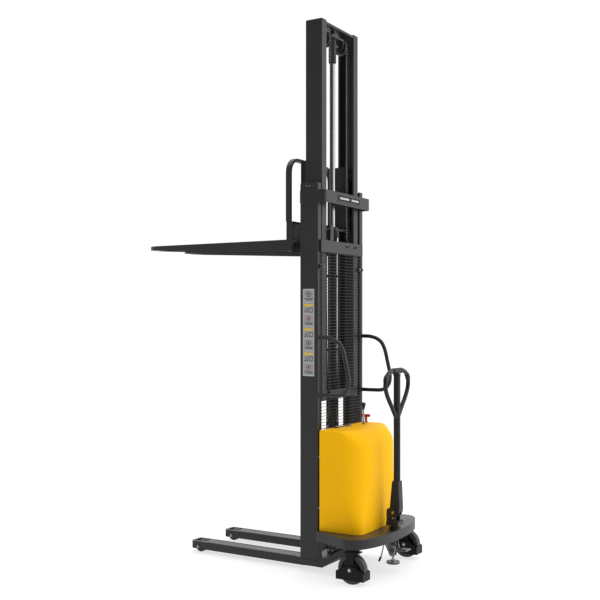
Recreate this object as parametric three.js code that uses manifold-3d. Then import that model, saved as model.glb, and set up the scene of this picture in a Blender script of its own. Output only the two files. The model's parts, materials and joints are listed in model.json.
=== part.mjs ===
// Walkie stacker with a two-stage mast, millimetres, +Z up, forks towards +Y, operator at -Y.
// Lengths along Y are measured from the rear face of the outer mast; the group is moved at the end
// so that the origin is the middle of the footprint on the floor.
import * as THREE from "three";
import { mergeVertices } from "three/addons/utils/BufferGeometryUtils.js";
import Module from "manifold-3d";

const wasm = await Module();
wasm.setup();

// ---- driving dimensions -------------------------------------------------------------------
const GAP = 0.3; // between touching pieces
const Y_MIDDLE = 453; // middle of the footprint along Y

const MAST = { half: 300, depth: 128, bottom: 43, top: 2430, web: 12, flange: 14, reach: 258 };
const INNER = { half: 240, y0: 5, y1: 123, bottom: 1070, top: 3468, web: 10, flange: 12, reach: 182 };
const DECK = { z0: 210, z1: 270, plate: 6, skirt: 4 };
const COVER = { half: 298, y0: -3, y1: -297, z0: 270.3, z1: 892, wall: 5, rTop: 115, rSide: 10, rFoot: 52, rHead: 170, rFront: 14 };
const LEG = { x: 193, width: 108, z0: 25, z1: 75, wall: 6, y0: 128.4, y1: 1030 };
const FORK = { x: 190, width: 175, top: 2086, plate: 6, side: 5, y0: 207, y1: 1385, tipLow: 2058, heelLow: 2012 };
const LOAD_ROLLER = { r: 39, width: 60, y: 968, z: 39 };
const STEER = { x: 381, y: -288, r: 90, width: 50, arm: 24 };
const TILLER = { y: -384, pivotY: -392, pivotZ: 370, tubeY: -398 };
const ROD = { x: 0, y: 65, r: 17.5 };
const CHAIN = { x: 107, rearY: 15, frontY: 113, width: 16, depth: 15 };
const SHEAVE = { y: 64, z: 3370, r: 50, groove: 41.4 };
const BRAKE = { y: -371 };

// ---- solids -------------------------------------------------------------------------------
function solid(geometry) {
  const g = geometry.index ? geometry.toNonIndexed() : geometry;
  const bare = new THREE.BufferGeometry().setAttribute("position", g.getAttribute("position"));
  const m = mergeVertices(bare, 1e-4);
  return new wasm.Manifold(
    new wasm.Mesh({
      numProp: 3,
      vertProperties: new Float32Array(m.attributes.position.array),
      triVerts: new Uint32Array(m.index.array),
    }),
  );
}
const box = (x0, x1, y0, y1, z0, z1) =>
  solid(
    new THREE.BoxGeometry(Math.abs(x1 - x0), Math.abs(y1 - y0), Math.abs(z1 - z0)).translate(
      (x0 + x1) / 2,
      (y0 + y1) / 2,
      (z0 + z1) / 2,
    ),
  );
// A flat outline made solid along one axis: axis x takes points (y, z), axis y (x, z), axis z (x, y).
function prism(axis, points, a, b) {
  const shape = new THREE.Shape(points.map(([u, v]) => new THREE.Vector2(u, v)));
  const g = new THREE.ExtrudeGeometry(shape, { depth: b - a, bevelEnabled: false, steps: 1 });
  const X = new THREE.Vector3(1, 0, 0),
    Y = new THREE.Vector3(0, 1, 0),
    Z = new THREE.Vector3(0, 0, 1);
  const m = new THREE.Matrix4();
  if (axis === "x") m.makeBasis(Y, Z, X).setPosition(a, 0, 0);
  else if (axis === "y") m.makeBasis(X, Z, Y.clone().negate()).setPosition(0, b, 0);
  else m.makeBasis(X, Y, Z).setPosition(0, 0, a);
  return solid(g.applyMatrix4(m));
}
// A round bar along one axis, centred on the two other coordinates.
function bar(axis, c1, c2, r, a, b, n = 16, r2 = r) {
  const g = new THREE.CylinderGeometry(r2, r, b - a, n);
  if (axis === "x") g.rotateZ(-Math.PI / 2).translate((a + b) / 2, c1, c2);
  else if (axis === "y") g.translate(c1, (a + b) / 2, c2);
  else g.rotateX(Math.PI / 2).translate(c1, c2, (a + b) / 2);
  return solid(g);
}
// A turned piece around the X direction: profile points are (radius, x), closed on itself or on the axis.
function turnedX(profile, cy, cz, n = 32) {
  const g = new THREE.LatheGeometry(profile.map(([r, x]) => new THREE.Vector2(r, x)), n);
  g.rotateZ(-Math.PI / 2).translate(0, cy, cz);
  const s = solid(g);
  return s;
}
function tube(points, r, n = 10, steps = 40, closed = false) {
  const curve = new THREE.CatmullRomCurve3(points.map((p) => new THREE.Vector3(...p)), closed, "centripetal");
  const ring = new THREE.Shape();
  for (let i = 0; i < n; i++) {
    const a = (2 * Math.PI * i) / n;
    ring[i ? "lineTo" : "moveTo"](r * Math.cos(a), r * Math.sin(a));
  }
  ring.closePath();
  return solid(new THREE.ExtrudeGeometry(ring, { extrudePath: curve, steps, bevelEnabled: false }));
}
const join = (...s) => s.reduce((a, b) => a.add(b));
const cut = (a, ...s) => s.reduce((r, b) => r.subtract(b), a);

const group = new THREE.Group();
const paint = {
  frame: [0x3a3b3d, 0.55, 0.3],
  yellow: [0xe8a81a, 0.4, 0.05],
  chrome: [0xd8dade, 0.12, 1.0],
  zinc: [0xb4b6b2, 0.35, 0.9],
  chain: [0x6f6f70, 0.4, 0.8],
  black: [0x191a1b, 0.6, 0.0],
  tyre: [0x202122, 0.75, 0.0],
  nylon: [0x2a2a2c, 0.5, 0.0],
  red: [0xa5231e, 0.4, 0.0],
  grey: [0x8a8d90, 0.5, 0.2],
  battery: [0x2b2f33, 0.6, 0.0],
};
function part(name, s, look) {
  const m = s.getMesh();
  const g = new THREE.BufferGeometry();
  const v = new Float32Array(m.numVert * 3);
  for (let i = 0; i < m.numVert; i++) v.set(m.vertProperties.subarray(i * m.numProp, i * m.numProp + 3), i * 3);
  g.setAttribute("position", new THREE.BufferAttribute(v, 3));
  g.setIndex(new THREE.BufferAttribute(new Uint32Array(m.triVerts), 1));
  g.computeVertexNormals();
  const [color, roughness, metalness] = paint[look];
  const mesh = new THREE.Mesh(g, new THREE.MeshStandardMaterial({ color, roughness, metalness }));
  mesh.name = name;
  group.add(mesh);
  return mesh;
}
const sides = [
  ["left", -1],
  ["right", 1],
];
// Mirror a solid made for the right-hand side (+X).
const onSide = (s, k) => (k > 0 ? s : s.mirror([1, 0, 0]));

// ---- outer mast ---------------------------------------------------------------------------
for (const [side, k] of sides) {
  const c = prism(
    "z",
    [
      [MAST.half, 0],
      [MAST.half, MAST.depth],
      [MAST.reach, MAST.depth],
      [MAST.reach, MAST.depth - MAST.flange],
      [MAST.half - MAST.web, MAST.depth - MAST.flange],
      [MAST.half - MAST.web, MAST.flange],
      [MAST.reach, MAST.flange],
      [MAST.reach, 0],
    ],
    MAST.bottom,
    MAST.top,
  );
  part("outer_mast_" + side, onSide(c, k), "frame");
}
// Tie band around the top of the outer mast, standing off behind it.
{
  const t = 8,
    xo = MAST.half + GAP + t,
    yr = -55,
    r = 26;
  const outline = (x, y, rr) => {
    const p = [[-x, 126]];
    for (let i = 0; i <= 5; i++) {
      const a = Math.PI + (i / 5) * (Math.PI / 2);
      p.push([-x + rr + rr * Math.cos(a), y + rr + rr * Math.sin(a)]);
    }
    for (let i = 0; i <= 5; i++) {
      const a = 1.5 * Math.PI + (i / 5) * (Math.PI / 2);
      p.push([x - rr + rr * Math.cos(a), y + rr + rr * Math.sin(a)]);
    }
    p.push([x, 126]);
    return p;
  };
  const outer = prism("z", outline(xo, yr, r), 2306, 2384);
  const inner = prism("z", [...outline(xo - t, yr + t, r - t).slice(0, -1), [xo - t, 127], [-xo + t, 127]].filter((p, i) => i > 0), 2300, 2390);
  part("capacity_band", cut(outer, inner), "frame");
}
// Cross plate that carries the guard and the chain anchors.
{
  const plate = box(-272, 268, -14, -4.3, 2001, 2077);
  const flange = box(-280, -272, -14, -GAP, 2001, 2077);
  const flangeR = box(268, 276, -14, -GAP, 2001, 2077);
  const bolts = join(bar("y", 64, 2052, 9, -26, -13, 8), bar("y", 175, 2051, 9, -26, -13, 8));
  const anchors = join(
    box(-CHAIN.x - 10, -CHAIN.x + 10, -8, 23, 2050, 2077),
    box(CHAIN.x - 10, CHAIN.x + 10, -8, 23, 2050, 2077),
  );
  part("mast_cross_plate", join(plate, flange, flangeR, bolts, anchors), "frame");
}
// Guard behind the mast, a welded grid in a thin border.
{
  const x0 = -270,
    x1 = 270,
    z0 = 894,
    z1 = 2000;
  let grid = box(x0, x1, -9, -5, z0, z1);
  const nx = 6,
    nz = 11,
    wire = 8;
  const px = (x1 - x0 - wire) / nx,
    pz = (z1 - z0 - wire) / nz;
  const holes = [];
  for (let i = 0; i < nx; i++)
    for (let j = 0; j < nz; j++)
      holes.push(
        box(x0 + wire + i * px, x0 + (i + 1) * px, -12, -2, z0 + wire + j * pz, z0 + (j + 1) * pz),
      );
  grid = cut(grid, join(...holes));
  const tabs = join(box(-285, -268, -9, -GAP, 1895, 1925), box(268, 285, -9, -GAP, 1895, 1925));
  part("mast_guard", join(grid, tabs), "black");
}
// Bracket that steadies the head of the lift cylinder.
{
  const strip = box(-165, 165, ROD.y - 12, ROD.y + 12, 2158, 2174);
  const ring = bar("z", ROD.x, ROD.y, 38, 2158, 2174, 28);
  const lug = join(box(-165, -122, -13, ROD.y + 12, 2158, 2174), box(-165, -122, -13, -6, 2077.3, 2174));
  part("cylinder_bracket", cut(join(strip, ring, lug), bar("z", ROD.x, ROD.y, 18.5, 2140, 2180, 20)), "frame");
}

// ---- base ---------------------------------------------------------------------------------
{
  const floor = box(-257.5, 257.5, -30, 128, 43, 70);
  const rear = box(-300, 300, -30, -GAP, 43, 97);
  const pan = box(-289, 289, -165, -28, 98, 103);
  const pads = join(box(-257.5, 257.5, -30, -25, 65, 103), box(-289, -280, -165, -28, 60, 103), box(280, 289, -165, -28, 60, 103));
  let s = join(floor, rear, pan, pads);
  for (const k of [-1, 1]) {
    const outline = prism("x", [[-GAP, 43], [-GAP, 224.7], [-245, 224.7], [-245, 180], [-30, 43]], 288, 300);
    const hole = prism("x", [[-19, 133], [-25, 98], [-52, 100], [-182, 186], [-172, 194], [-135, 202], [-68, 208], [-44, 168]], 280, 310);
    s = join(s, onSide(cut(outline, hole), k));
  }
  // the guard cheeks below the pan keep to the slope of the side plates
  s = cut(s, prism("x", [[-31, 42], [-400, 42], [-400, 278], [-246, 179.5]], -310, 310));
  part("base_frame", s, "frame");
}
const deckOutline = (grow) => {
  // half outline from the mast to the middle of the rear edge, and its outward direction
  const half = [
    [323, -0.5], [340, -45], [362, -100], [385, -155], [407, -206], [420, -238], [425.5, -262], [423, -288], [412, -314],
    [396, -334], [374, -351], [345, -366], [310, -380], [266, -394], [220, -404], [168, -411.5], [112, -416.5], [56, -419],
  ];
  const out = half.map(([x, y], i) => {
    const [ax, ay] = half[Math.max(0, i - 1)],
      [bx, by] = half[Math.min(half.length - 1, i + 1)];
    const l = Math.hypot(bx - ax, by - ay);
    return i ? [x - (grow * (by - ay)) / l, y + (grow * (bx - ax)) / l] : [x + grow, y];
  });
  return [...out, [0, -420 - grow], ...out.map(([x, y]) => [-x, y]).reverse()];
};
{
  const outer = prism("z", deckOutline(0), DECK.z0, DECK.z1);
  const inner = prism("z", deckOutline(-DECK.skirt), DECK.z0 - 5, DECK.z1 - DECK.plate);
  // the front skirt stays on the tray
  const keep = box(-316, 316, -8, -0.5, 226, DECK.z1);
  let s = join(cut(outer, inner), keep);
  const beam = box(-424, 424, -324, -250, 226, 236);
  s = join(s, beam.intersect(prism("z", deckOutline(-1), 200, 300)));
  s = cut(
    s,
    bar("z", -STEER.x, STEER.y, 12.5, 220, 240, 20),
    bar("z", STEER.x, STEER.y, 12.5, 220, 240, 20),
    bar("z", 0, TILLER.y, 20.6, 255, 280, 24),
  );
  part("deck", s, "frame");
}
for (const [side, k] of sides) {
  const x0 = LEG.x - LEG.width / 2,
    x1 = LEG.x + LEG.width / 2,
    r = 22;
  const outline = [
    [x0, LEG.y0],
    [x1, LEG.y0],
    [x1, LEG.y1 - r],
    [x1 - 7, LEG.y1 - 7],
    [x1 - r, LEG.y1],
    [x0 + r, LEG.y1],
    [x0 + 7, LEG.y1 - 7],
    [x0, LEG.y1 - r],
  ];
  const w = LEG.wall;
  const hollow = box(x0 + w, x1 - w, LEG.y0 + w, LEG.y1 - 12, LEG.z0 - 5, LEG.z1 - w);
  const slot = box(LEG.x - 34, LEG.x + 34, LOAD_ROLLER.y - 43, LOAD_ROLLER.y + 43, 50, 90);
  const pin = bar("x", LOAD_ROLLER.y, LOAD_ROLLER.z, 10.5, x0 - 10, x1 + 10, 16);
  part("leg_" + side, onSide(cut(prism("z", outline, LEG.z0, LEG.z1), hollow, slot, pin), k), "frame");
  const axle = join(
    bar("x", LOAD_ROLLER.y, LOAD_ROLLER.z, 10, x0 - 3, x1 + 3, 16),
    bar("x", LOAD_ROLLER.y, LOAD_ROLLER.z, 14, x1 + GAP, x1 + 5, 12),
    bar("x", LOAD_ROLLER.y, LOAD_ROLLER.z, 14, x0 - 5, x0 - GAP, 12),
  );
  part("load_axle_" + side, onSide(axle, k), "zinc");
  const w2 = LOAD_ROLLER.width / 2;
  const roller = turnedX(
    [
      [10.5, -w2],
      [LOAD_ROLLER.r - 3, -w2],
      [LOAD_ROLLER.r, -w2 + 3],
      [LOAD_ROLLER.r, w2 - 3],
      [LOAD_ROLLER.r - 3, w2],
      [10.5, w2],
      [10.5, -w2],
    ],
    LOAD_ROLLER.y,
    LOAD_ROLLER.z,
    28,
  ).translate([LEG.x, 0, 0]);
  part("load_roller_" + side, onSide(roller, k), "nylon");
}

// ---- power pack ---------------------------------------------------------------------------
{
  const can = join(bar("x", -76, 168, 33, -272, -150, 24), bar("x", -76, 168, 26, -150, -110, 16), bar("x", -76, 168, 31, -110, -60, 20));
  const foot = box(-230, -120, -100, -52, 103.3, 140);
  part("pump_motor", join(can, foot), "black");
  const tank = join(box(-40, 240, -150, -46, 103.3, 212), bar("z", 180, -98, 18, 212, 224, 12));
  part("hydraulic_tank", tank, "grey");
  const battery = join(
    box(-190, 190, -255, -75, 270.3, 505),
    bar("z", -150, -110, 12, 505, 520, 10),
    bar("z", 150, -110, 12, 505, 520, 10),
  );
  part("battery", battery, "battery");
}
// ---- cover --------------------------------------------------------------------------------
{
  // One closed skin of the cover: rings of points from the foot to the crown. The rear corners open out
  // with height, and the top edge is small along the sides and large along the rear.
  const shell = (inset) => {
    const half = COVER.half - inset,
      y0 = COVER.y0 - inset,
      y1 = COVER.y1 + inset,
      z0 = COVER.z0 - (inset ? 10 : 0),
      z1 = COVER.z1 - inset,
      rf = COVER.rFront - inset;
    const spots = [];
    for (let i = 0; i <= 3; i++) spots.push(["front", 1, 90 - 30 * i]);
    for (let i = 1; i <= 3; i++) spots.push(["side", 1, i / 4]);
    for (let i = 0; i <= 8; i++) spots.push(["rear", 1, -11.25 * i]);
    for (let i = 1; i <= 5; i++) spots.push(["back", 1, i / 6]);
    for (let i = 0; i <= 8; i++) spots.push(["rear", -1, -90 - 11.25 * i]);
    for (let i = 3; i >= 1; i--) spots.push(["side", -1, i / 4]);
    for (let i = 0; i <= 3; i++) spots.push(["front", -1, 180 - 30 * i]);
    const at = ([kind, k, v], z) => {
      const f = Math.min(1, Math.max(0, (z - COVER.z0) / 340));
      const rc = COVER.rFoot + (COVER.rHead - COVER.rFoot) * f * f * (3 - 2 * f) - inset;
      const a = (v * Math.PI) / 180;
      if (kind === "front") return [k * (half - rf) + rf * Math.cos(a), y0 - rf + rf * Math.sin(a), Math.cos(a), Math.sin(a)];
      if (kind === "side") return [k * half, y0 - rf + v * (y1 + rc - y0 + rf), k, 0];
      if (kind === "rear") return [k * (half - rc) + rc * Math.cos(a), y1 + rc + rc * Math.sin(a), Math.cos(a), Math.sin(a)];
      return [(half - rc) * (1 - 2 * v), y1, 0, -1];
    };
    const points = [];
    const levels = [0, 0.2, 0.4, 0.6, 0.8, 1].map((t) => ["wall", t]).concat([0, 22.5, 45, 67.5, 90].map((t) => ["crown", (t * Math.PI) / 180]));
    for (const [kind, t] of levels)
      for (const spot of spots) {
        const w = Math.max(0, -at(spot, z1)[3]);
        const r = Math.max(2, COVER.rSide + (COVER.rTop - COVER.rSide) * w * w * (3 - 2 * w) - inset);
        const z = kind === "wall" ? z0 + (z1 - r - 3 - z0) * t : z1 - r + r * Math.sin(t);
        const back = kind === "wall" ? 0 : r * (1 - Math.cos(t));
        const [x, y, nx, ny] = at(spot, z);
        const lean = 6 * Math.max(0, -ny) * Math.min(1, Math.max(0, (z - COVER.z0) / 500));
        points.push(x - nx * back, y - ny * back + lean, z);
      }
    const n = spots.length,
      index = [];
    for (let l = 0; l + 1 < levels.length; l++)
      for (let i = 0; i < n; i++) {
        const a = l * n + i,
          b = l * n + ((i + 1) % n);
        index.push(a, a + n, b, b, a + n, b + n);
      }
    const low = points.length / 3,
      high = low + 1,
      last = (levels.length - 1) * n;
    points.push(0, -150, z0, 0, -90, z1);
    for (let i = 0; i < n; i++) index.push(low, i, (i + 1) % n, high, last + ((i + 1) % n), last + i);
    const g = new THREE.BufferGeometry().setAttribute("position", new THREE.BufferAttribute(new Float32Array(points), 3));
    return solid(g.setIndex(index));
  };
  let s = cut(shell(0), shell(COVER.wall));
  s = join(s, bar("z", -125, -36, 17, COVER.z1 - 3, COVER.z1 + 6, 16), bar("z", 255, -50, 12, COVER.z1 - 3, COVER.z1 + 8, 12));
  s = cut(s, bar("z", 255, -50, 6, COVER.z1 - 20, COVER.z1 + 20, 12));
  part("cover", s, "yellow");
}
part("battery_gauge", join(box(-40, 20, -74, -44, 892.3, 898), box(-34, 14, -69, -49, 897, 899.5)), "grey");
{
  const key = join(bar("z", -125, -36, 9, 898.3, 903, 12), box(-127, -123, -46, -26, 902, 926));
  part("ignition_key", key, "zinc");
  const handle = join(bar("z", 255, -50, 5, 855, 934, 12), bar("y", 255, 938, 8.5, -84, -16, 12));
  part("disconnect_handle", handle, "red");
  const lever = join(
    bar("z", 150, -85, 5, 905, 992, 12),
    solid(new THREE.SphereGeometry(11, 14, 8).rotateX(Math.PI / 2).translate(150, -85, 905)),
    bar("z", 150, -85, 10, 990, 1034, 16, 15),
  );
  part("lowering_lever", lever, "black");
}
// ---- grab handles -------------------------------------------------------------------------
for (const [side, k] of sides) {
  const x = 288;
  const path = [
    [x, 0, 1467],
    [x, -30, 1467],
    [x, -66, 1465],
    [x, -112, 1452],
    [x, -148, 1426],
    [x, -172, 1380],
    [x, -190, 1310],
    [x, -206, 1240],
    [x, -211, 1195],
    [x, -203, 1155],
    [x, -180, 1124],
    [x, -148, 1111],
    [x, -80, 1108],
    [x, -30, 1108],
    [x, 0, 1108],
  ].map(([a, b, c]) => [a, b === 0 ? -GAP : b, c]);
  part("grab_handle_" + side, onSide(tube(path, 12, 10, 44), k), "frame");
}

// ---- lift cylinder ------------------------------------------------------------------------
{
  const barrel = cut(
    join(bar("z", ROD.x, ROD.y, 30, 70.3, 2112, 24), bar("z", ROD.x, ROD.y, 37, 2108, 2157.7, 24)),
    bar("z", ROD.x, ROD.y, 25, 84, 2098, 20),
    bar("z", ROD.x, ROD.y, 18, 2090, 2200, 20),
  );
  part("lift_cylinder_barrel", barrel, "black");
  const rod = join(bar("z", ROD.x, ROD.y, ROD.r, 1085, 3246.7, 20), bar("z", ROD.x, ROD.y, 24.4, 1085, 1115, 20));
  part("piston_rod", rod, "chrome");
}

// ---- inner mast ---------------------------------------------------------------------------
for (const [side, k] of sides) {
  const c = prism(
    "z",
    [
      [INNER.half, INNER.y0],
      [INNER.half, INNER.y1],
      [INNER.reach, INNER.y1],
      [INNER.reach, INNER.y1 - INNER.flange],
      [INNER.half - INNER.web, INNER.y1 - INNER.flange],
      [INNER.half - INNER.web, INNER.y0 + INNER.flange],
      [INNER.reach, INNER.y0 + INNER.flange],
      [INNER.reach, INNER.y0],
    ],
    INNER.bottom,
    INNER.top,
  );
  const stub = bar("x", 64, INNER.bottom + 70, 14, INNER.half - 2, 282, 12);
  const wheel = bar("x", 64, INNER.bottom + 70, 48, 246, 280, 24);
  part("inner_mast_" + side, onSide(join(c, stub, wheel), k), "frame");
}
part("inner_top_tie", box(-181.7, 181.7, 5, 118, 3444, 3460), "frame");
part("inner_bottom_tie", box(-181.7, 181.7, 6, 16, 1076, 1132), "frame");
{
  // rod head, a cross bar with two round-ended cheeks below it, and the pins of the sheaves
  const cheek = prism(
    "x",
    [
      [25, 3400], [25, 3372], [31, 3352], [45, 3339], [64, 3334], [83, 3339], [97, 3352], [103, 3372], [103, 3400],
    ],
    72,
    80,
  );
  const head = join(
    bar("z", ROD.x, ROD.y, 25, 3247, 3404, 24),
    box(-80, 80, 25, 103, 3398, 3412),
    bar("z", ROD.x, ROD.y, 14, 3408, 3443.7, 16),
    cheek,
    cheek.mirror([1, 0, 0]),
  );
  const pins = join(bar("x", SHEAVE.y, SHEAVE.z, 12, -130, -56, 16), bar("x", SHEAVE.y, SHEAVE.z, 12, 56, 130, 16));
  part("crosshead", join(head, pins), "frame");
}
for (const [side, k] of sides) {
  const s = turnedX(
    [
      [12.4, -14],
      [SHEAVE.r, -14],
      [SHEAVE.r, -10],
      [SHEAVE.groove, -9],
      [SHEAVE.groove, 9],
      [SHEAVE.r, 10],
      [SHEAVE.r, 14],
      [12.4, 14],
      [12.4, -14],
    ],
    SHEAVE.y,
    SHEAVE.z,
    28,
  ).translate([CHAIN.x, 0, 0]);
  part("chain_sheave_" + side, onSide(s, k), "grey");
  const w = CHAIN.width / 2,
    d = CHAIN.depth / 2;
  part("chain_rear_" + side, box(k * CHAIN.x - w, k * CHAIN.x + w, CHAIN.rearY - d, CHAIN.rearY + d, 2077.3, SHEAVE.z), "chain");
  part("chain_front_" + side, box(k * CHAIN.x - w, k * CHAIN.x + w, CHAIN.frontY - d, CHAIN.frontY + d, 2436.3, SHEAVE.z), "chain");
}

// ---- carriage -----------------------------------------------------------------------------
{
  let s = box(-279, 279, 194, 206.7, 2092, 2200);
  for (const k of [-1, 1]) {
    s = join(
      s,
      onSide(prism("x", [[57, 2190], [196, 2190], [196, 2586], [189, 2593], [64, 2593], [57, 2586]], 172, 180), k),
      onSide(box(97, 117, 104, 200, 2406, 2436), k),
      onSide(box(97, 117, 186, 200, 2190, 2436), k),
      onSide(bar("x", 64, 2240, 12, 178, 226, 12), k),
      onSide(bar("x", 64, 2540, 12, 178, 226, 12), k),
    );
  }
  part("carriage_frame", s, "frame");
}
for (const [side, k] of sides)
  for (const [place, z] of [
    ["lower", 2240],
    ["upper", 2540],
  ]) {
    const s = turnedX(
      [
        [12.4, 200],
        [44, 200],
        [46.5, 203],
        [46.5, 222],
        [44, 225],
        [12.4, 225],
        [12.4, 200],
      ],
      64,
      z,
      24,
    );
    part("carriage_roller_" + place + "_" + side, onSide(s, k), "grey");
  }
{
  // backrest hoop, a flat tube bent in the XZ plane
  const arc = (h, zt, r, n = 7) => {
    const p = [];
    for (let i = 0; i <= n; i++) {
      const a = (i / n) * (Math.PI / 2);
      p.push([h - r + r * Math.cos(a), zt - r + r * Math.sin(a)]);
    }
    return p;
  };
  const line = (h, zt, r) => {
    const a = arc(h, zt, r);
    return [[h, 2200.3], ...a, ...a.map(([x, z]) => [-x, z]).reverse(), [-h, 2200.3]];
  };
  const outer = line(279, 2612, 100),
    inner = line(259, 2592, 80);
  part("backrest_hoop", prism("y", [...outer, ...inner.reverse()], 212, 250), "frame");
}
for (const [side, k] of sides) {
  const x0 = FORK.x - FORK.width / 2,
    x1 = FORK.x + FORK.width / 2;
  const plan = [
    [x0, FORK.y0],
    [x1, FORK.y0],
    [x1, FORK.y1 - 70],
    [x1 - 12, FORK.y1 - 28],
    [x1 - 34, FORK.y1],
    [x0 + 34, FORK.y1],
    [x0 + 12, FORK.y1 - 28],
    [x0, FORK.y1 - 70],
  ];
  const side_ = [
    [FORK.y0, FORK.heelLow],
    [FORK.y0 + 160, FORK.heelLow],
    [FORK.y1 - 60, FORK.tipLow],
    [FORK.y1, FORK.tipLow + 2],
    [FORK.y1, FORK.top],
    [FORK.y0, FORK.top],
  ];
  const body = prism("z", plan, FORK.heelLow - 5, FORK.top + 5).intersect(prism("x", side_, x0 - 1, x1 + 1));
  const hollow = box(x0 + FORK.side, x1 - FORK.side, FORK.y0 + 38, FORK.y1 - 78, FORK.heelLow - 20, FORK.top - FORK.plate);
  const under = box(x0 + 20, x1 - 20, FORK.y0 - 5, FORK.y0 + 60, FORK.heelLow - 20, FORK.top - FORK.plate);
  const shank = box(x0 + 0.5, x1 - 0.5, FORK.y0, FORK.y0 + 38, FORK.top - 2, 2200);
  part("fork_" + side, onSide(join(cut(body, hollow, under), shank), k), "frame");
}

// ---- steering -----------------------------------------------------------------------------
{
  const ring = cut(bar("z", 0, TILLER.y, 38, 270.3, 281.7, 24), bar("z", 0, TILLER.y, 26, 260, 290, 24));
  part("steering_bearing", ring, "zinc");
  const shaft = join(bar("z", 0, TILLER.y, 10, 237, 256, 24), bar("z", 0, TILLER.y, 20, 254, 296, 24), bar("z", 0, TILLER.y, 25, 282, 296, 24));
  const base = box(-40, 40, TILLER.y - 40, TILLER.y + 42, 294, 318);
  const cheek = prism(
    "x",
    [
      [-404, 310],
      [-342, 310],
      [-342, 384],
      [-347, 395],
      [-358, 402],
      [-388, 403],
      [-399, 397],
      [-404, 385],
    ],
    29,
    35,
  );
  const pin = bar("x", TILLER.pivotY, TILLER.pivotZ, 8, -40, 40, 16);
  const arm = join(box(-8, 8, TILLER.y, TILLER.y + STEER.arm, 237, 243), bar("z", 0, TILLER.y + STEER.arm, 8, 237, 243, 14), bar("z", 0, TILLER.y + STEER.arm, 4, 242, 250, 12));
  part("tiller_base", join(shaft, base, cheek, cheek.mirror([1, 0, 0]), pin, arm), "frame");

  let foot = prism(
    "x",
    [
      [-428, 402],
      [-420, 565],
      [-376, 565],
      [-360, 402],
      [-362, 372],
      [-372, 352],
      [-392, 343],
      [-412, 352],
      [-424, 372],
    ],
    -28,
    28,
  );
  foot = cut(foot, box(-20, 20, -440, -376, 330, 520), bar("x", TILLER.pivotY, TILLER.pivotZ, 8.5, -60, 60, 16));
  const column = cut(bar("z", 0, TILLER.tubeY, 21.5, 515, 1236, 20), bar("z", 0, TILLER.tubeY, 18, 500, 1228, 16));
  foot = cut(foot, bar("z", 0, TILLER.tubeY, 18, 500, 600, 16));
  const h = [
    [0, 955],
    [14, 965],
    [60, 1020],
    [110, 1075],
    [150, 1128],
    [165, 1170],
    [160, 1205],
    [145, 1228],
    [112, 1249],
    [80, 1257],
  ];
  const path = [
    ...h.slice(1).map(([x, z]) => [-x, TILLER.tubeY, z]),
    [-64, TILLER.tubeY, 1258],
    [-30, TILLER.tubeY, 1258],
    [0, TILLER.tubeY, 1258],
    [30, TILLER.tubeY, 1258],
    [64, TILLER.tubeY, 1258],
    ...h
      .slice(1)
      .reverse()
      .map(([x, z]) => [x, TILLER.tubeY, z]),
  ];
  const first = [-4, TILLER.tubeY, 952],
    last = [4, TILLER.tubeY, 952];
  const loop = tube([first, ...path, last], 13.5, 12, 56);
  part("tiller_arm", join(foot, column, loop), "black");
  const grip = cut(bar("x", TILLER.tubeY, 1258, 17.5, -62, 62, 16), bar("x", TILLER.tubeY, 1258, 14.2, -70, 70, 16));
  part("tiller_grip", grip, "black");
}
for (const [side, k] of sides) {
  const x = STEER.x,
    y = STEER.y;
  const s = join(
    bar("z", x, y, 23, 190, 225.7, 20),
    bar("z", x, y, 12, 220, 243, 16),
    box(x - 35, x + 35, y - 46, y + 40, 185, 193),
    bar("z", x, y, 31, 192, 199, 24),
    prism("x", [[y - 26, 193], [y + 30, 193], [y + 28, 168], [y + 18, 78], [y - 18, 78], [y - 24, 168]], x - 35, x - 29),
    prism("x", [[y - 26, 193], [y + 30, 193], [y + 28, 168], [y + 18, 78], [y - 18, 78], [y - 24, 168]], x + 29, x + 35),
    bar("x", y, 90, 8, x - 41.7, x + 41.7, 16),
    box(x - 8, x + 8, y, y + STEER.arm, 237, 243),
    bar("z", x, y + STEER.arm, 8, 237, 243, 14),
    bar("z", x, y + STEER.arm, 4, 242, 250, 12),
  );
  // the right-hand yoke is a moved copy, not a mirror, so both arms point forwards
  part("steer_yoke_" + side, s.translate([k > 0 ? 0 : -2 * x, 0, 0]), "frame");
  const w = STEER.width / 2;
  const wheel = turnedX(
    [
      [8.5, -w + 2],
      [30, -w + 2],
      [34, -w + 6],
      [62, -w + 6],
      [66, -w],
      [84, -w],
      [90, -w + 7],
      [90, w - 7],
      [84, w],
      [66, w],
      [62, w - 6],
      [34, w - 6],
      [30, w - 2],
      [8.5, w - 2],
      [8.5, -w + 2],
    ],
    y,
    90,
    32,
  ).translate([k * x, 0, 0]);
  part("steer_wheel_" + side, wheel, "tyre");
  const plate = prism(
    "x",
    [
      [y - 90, 30],
      [y + 92, 30],
      [y + 92, 80],
      [y + 80, 85],
      [y + 46, 103],
      [y + 12, 113],
      [y - 22, 114],
      [y - 36, 109],
      [y - 90, 80],
    ],
    x + 42,
    x + 45,
  );
  const guard = cut(
    join(plate, plate.translate([-87, 0, 0]), box(x - 45, x + 45, y - 93, y - 90, 30, 80), box(x - 45, x + 45, y - 90.5, y - 89.5, 32, 78)),
    bar("x", y, 90, 6, x - 60, x + 60, 12),
  );
  part("toe_guard_" + side, onSide(guard, k), "black");
}
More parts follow.
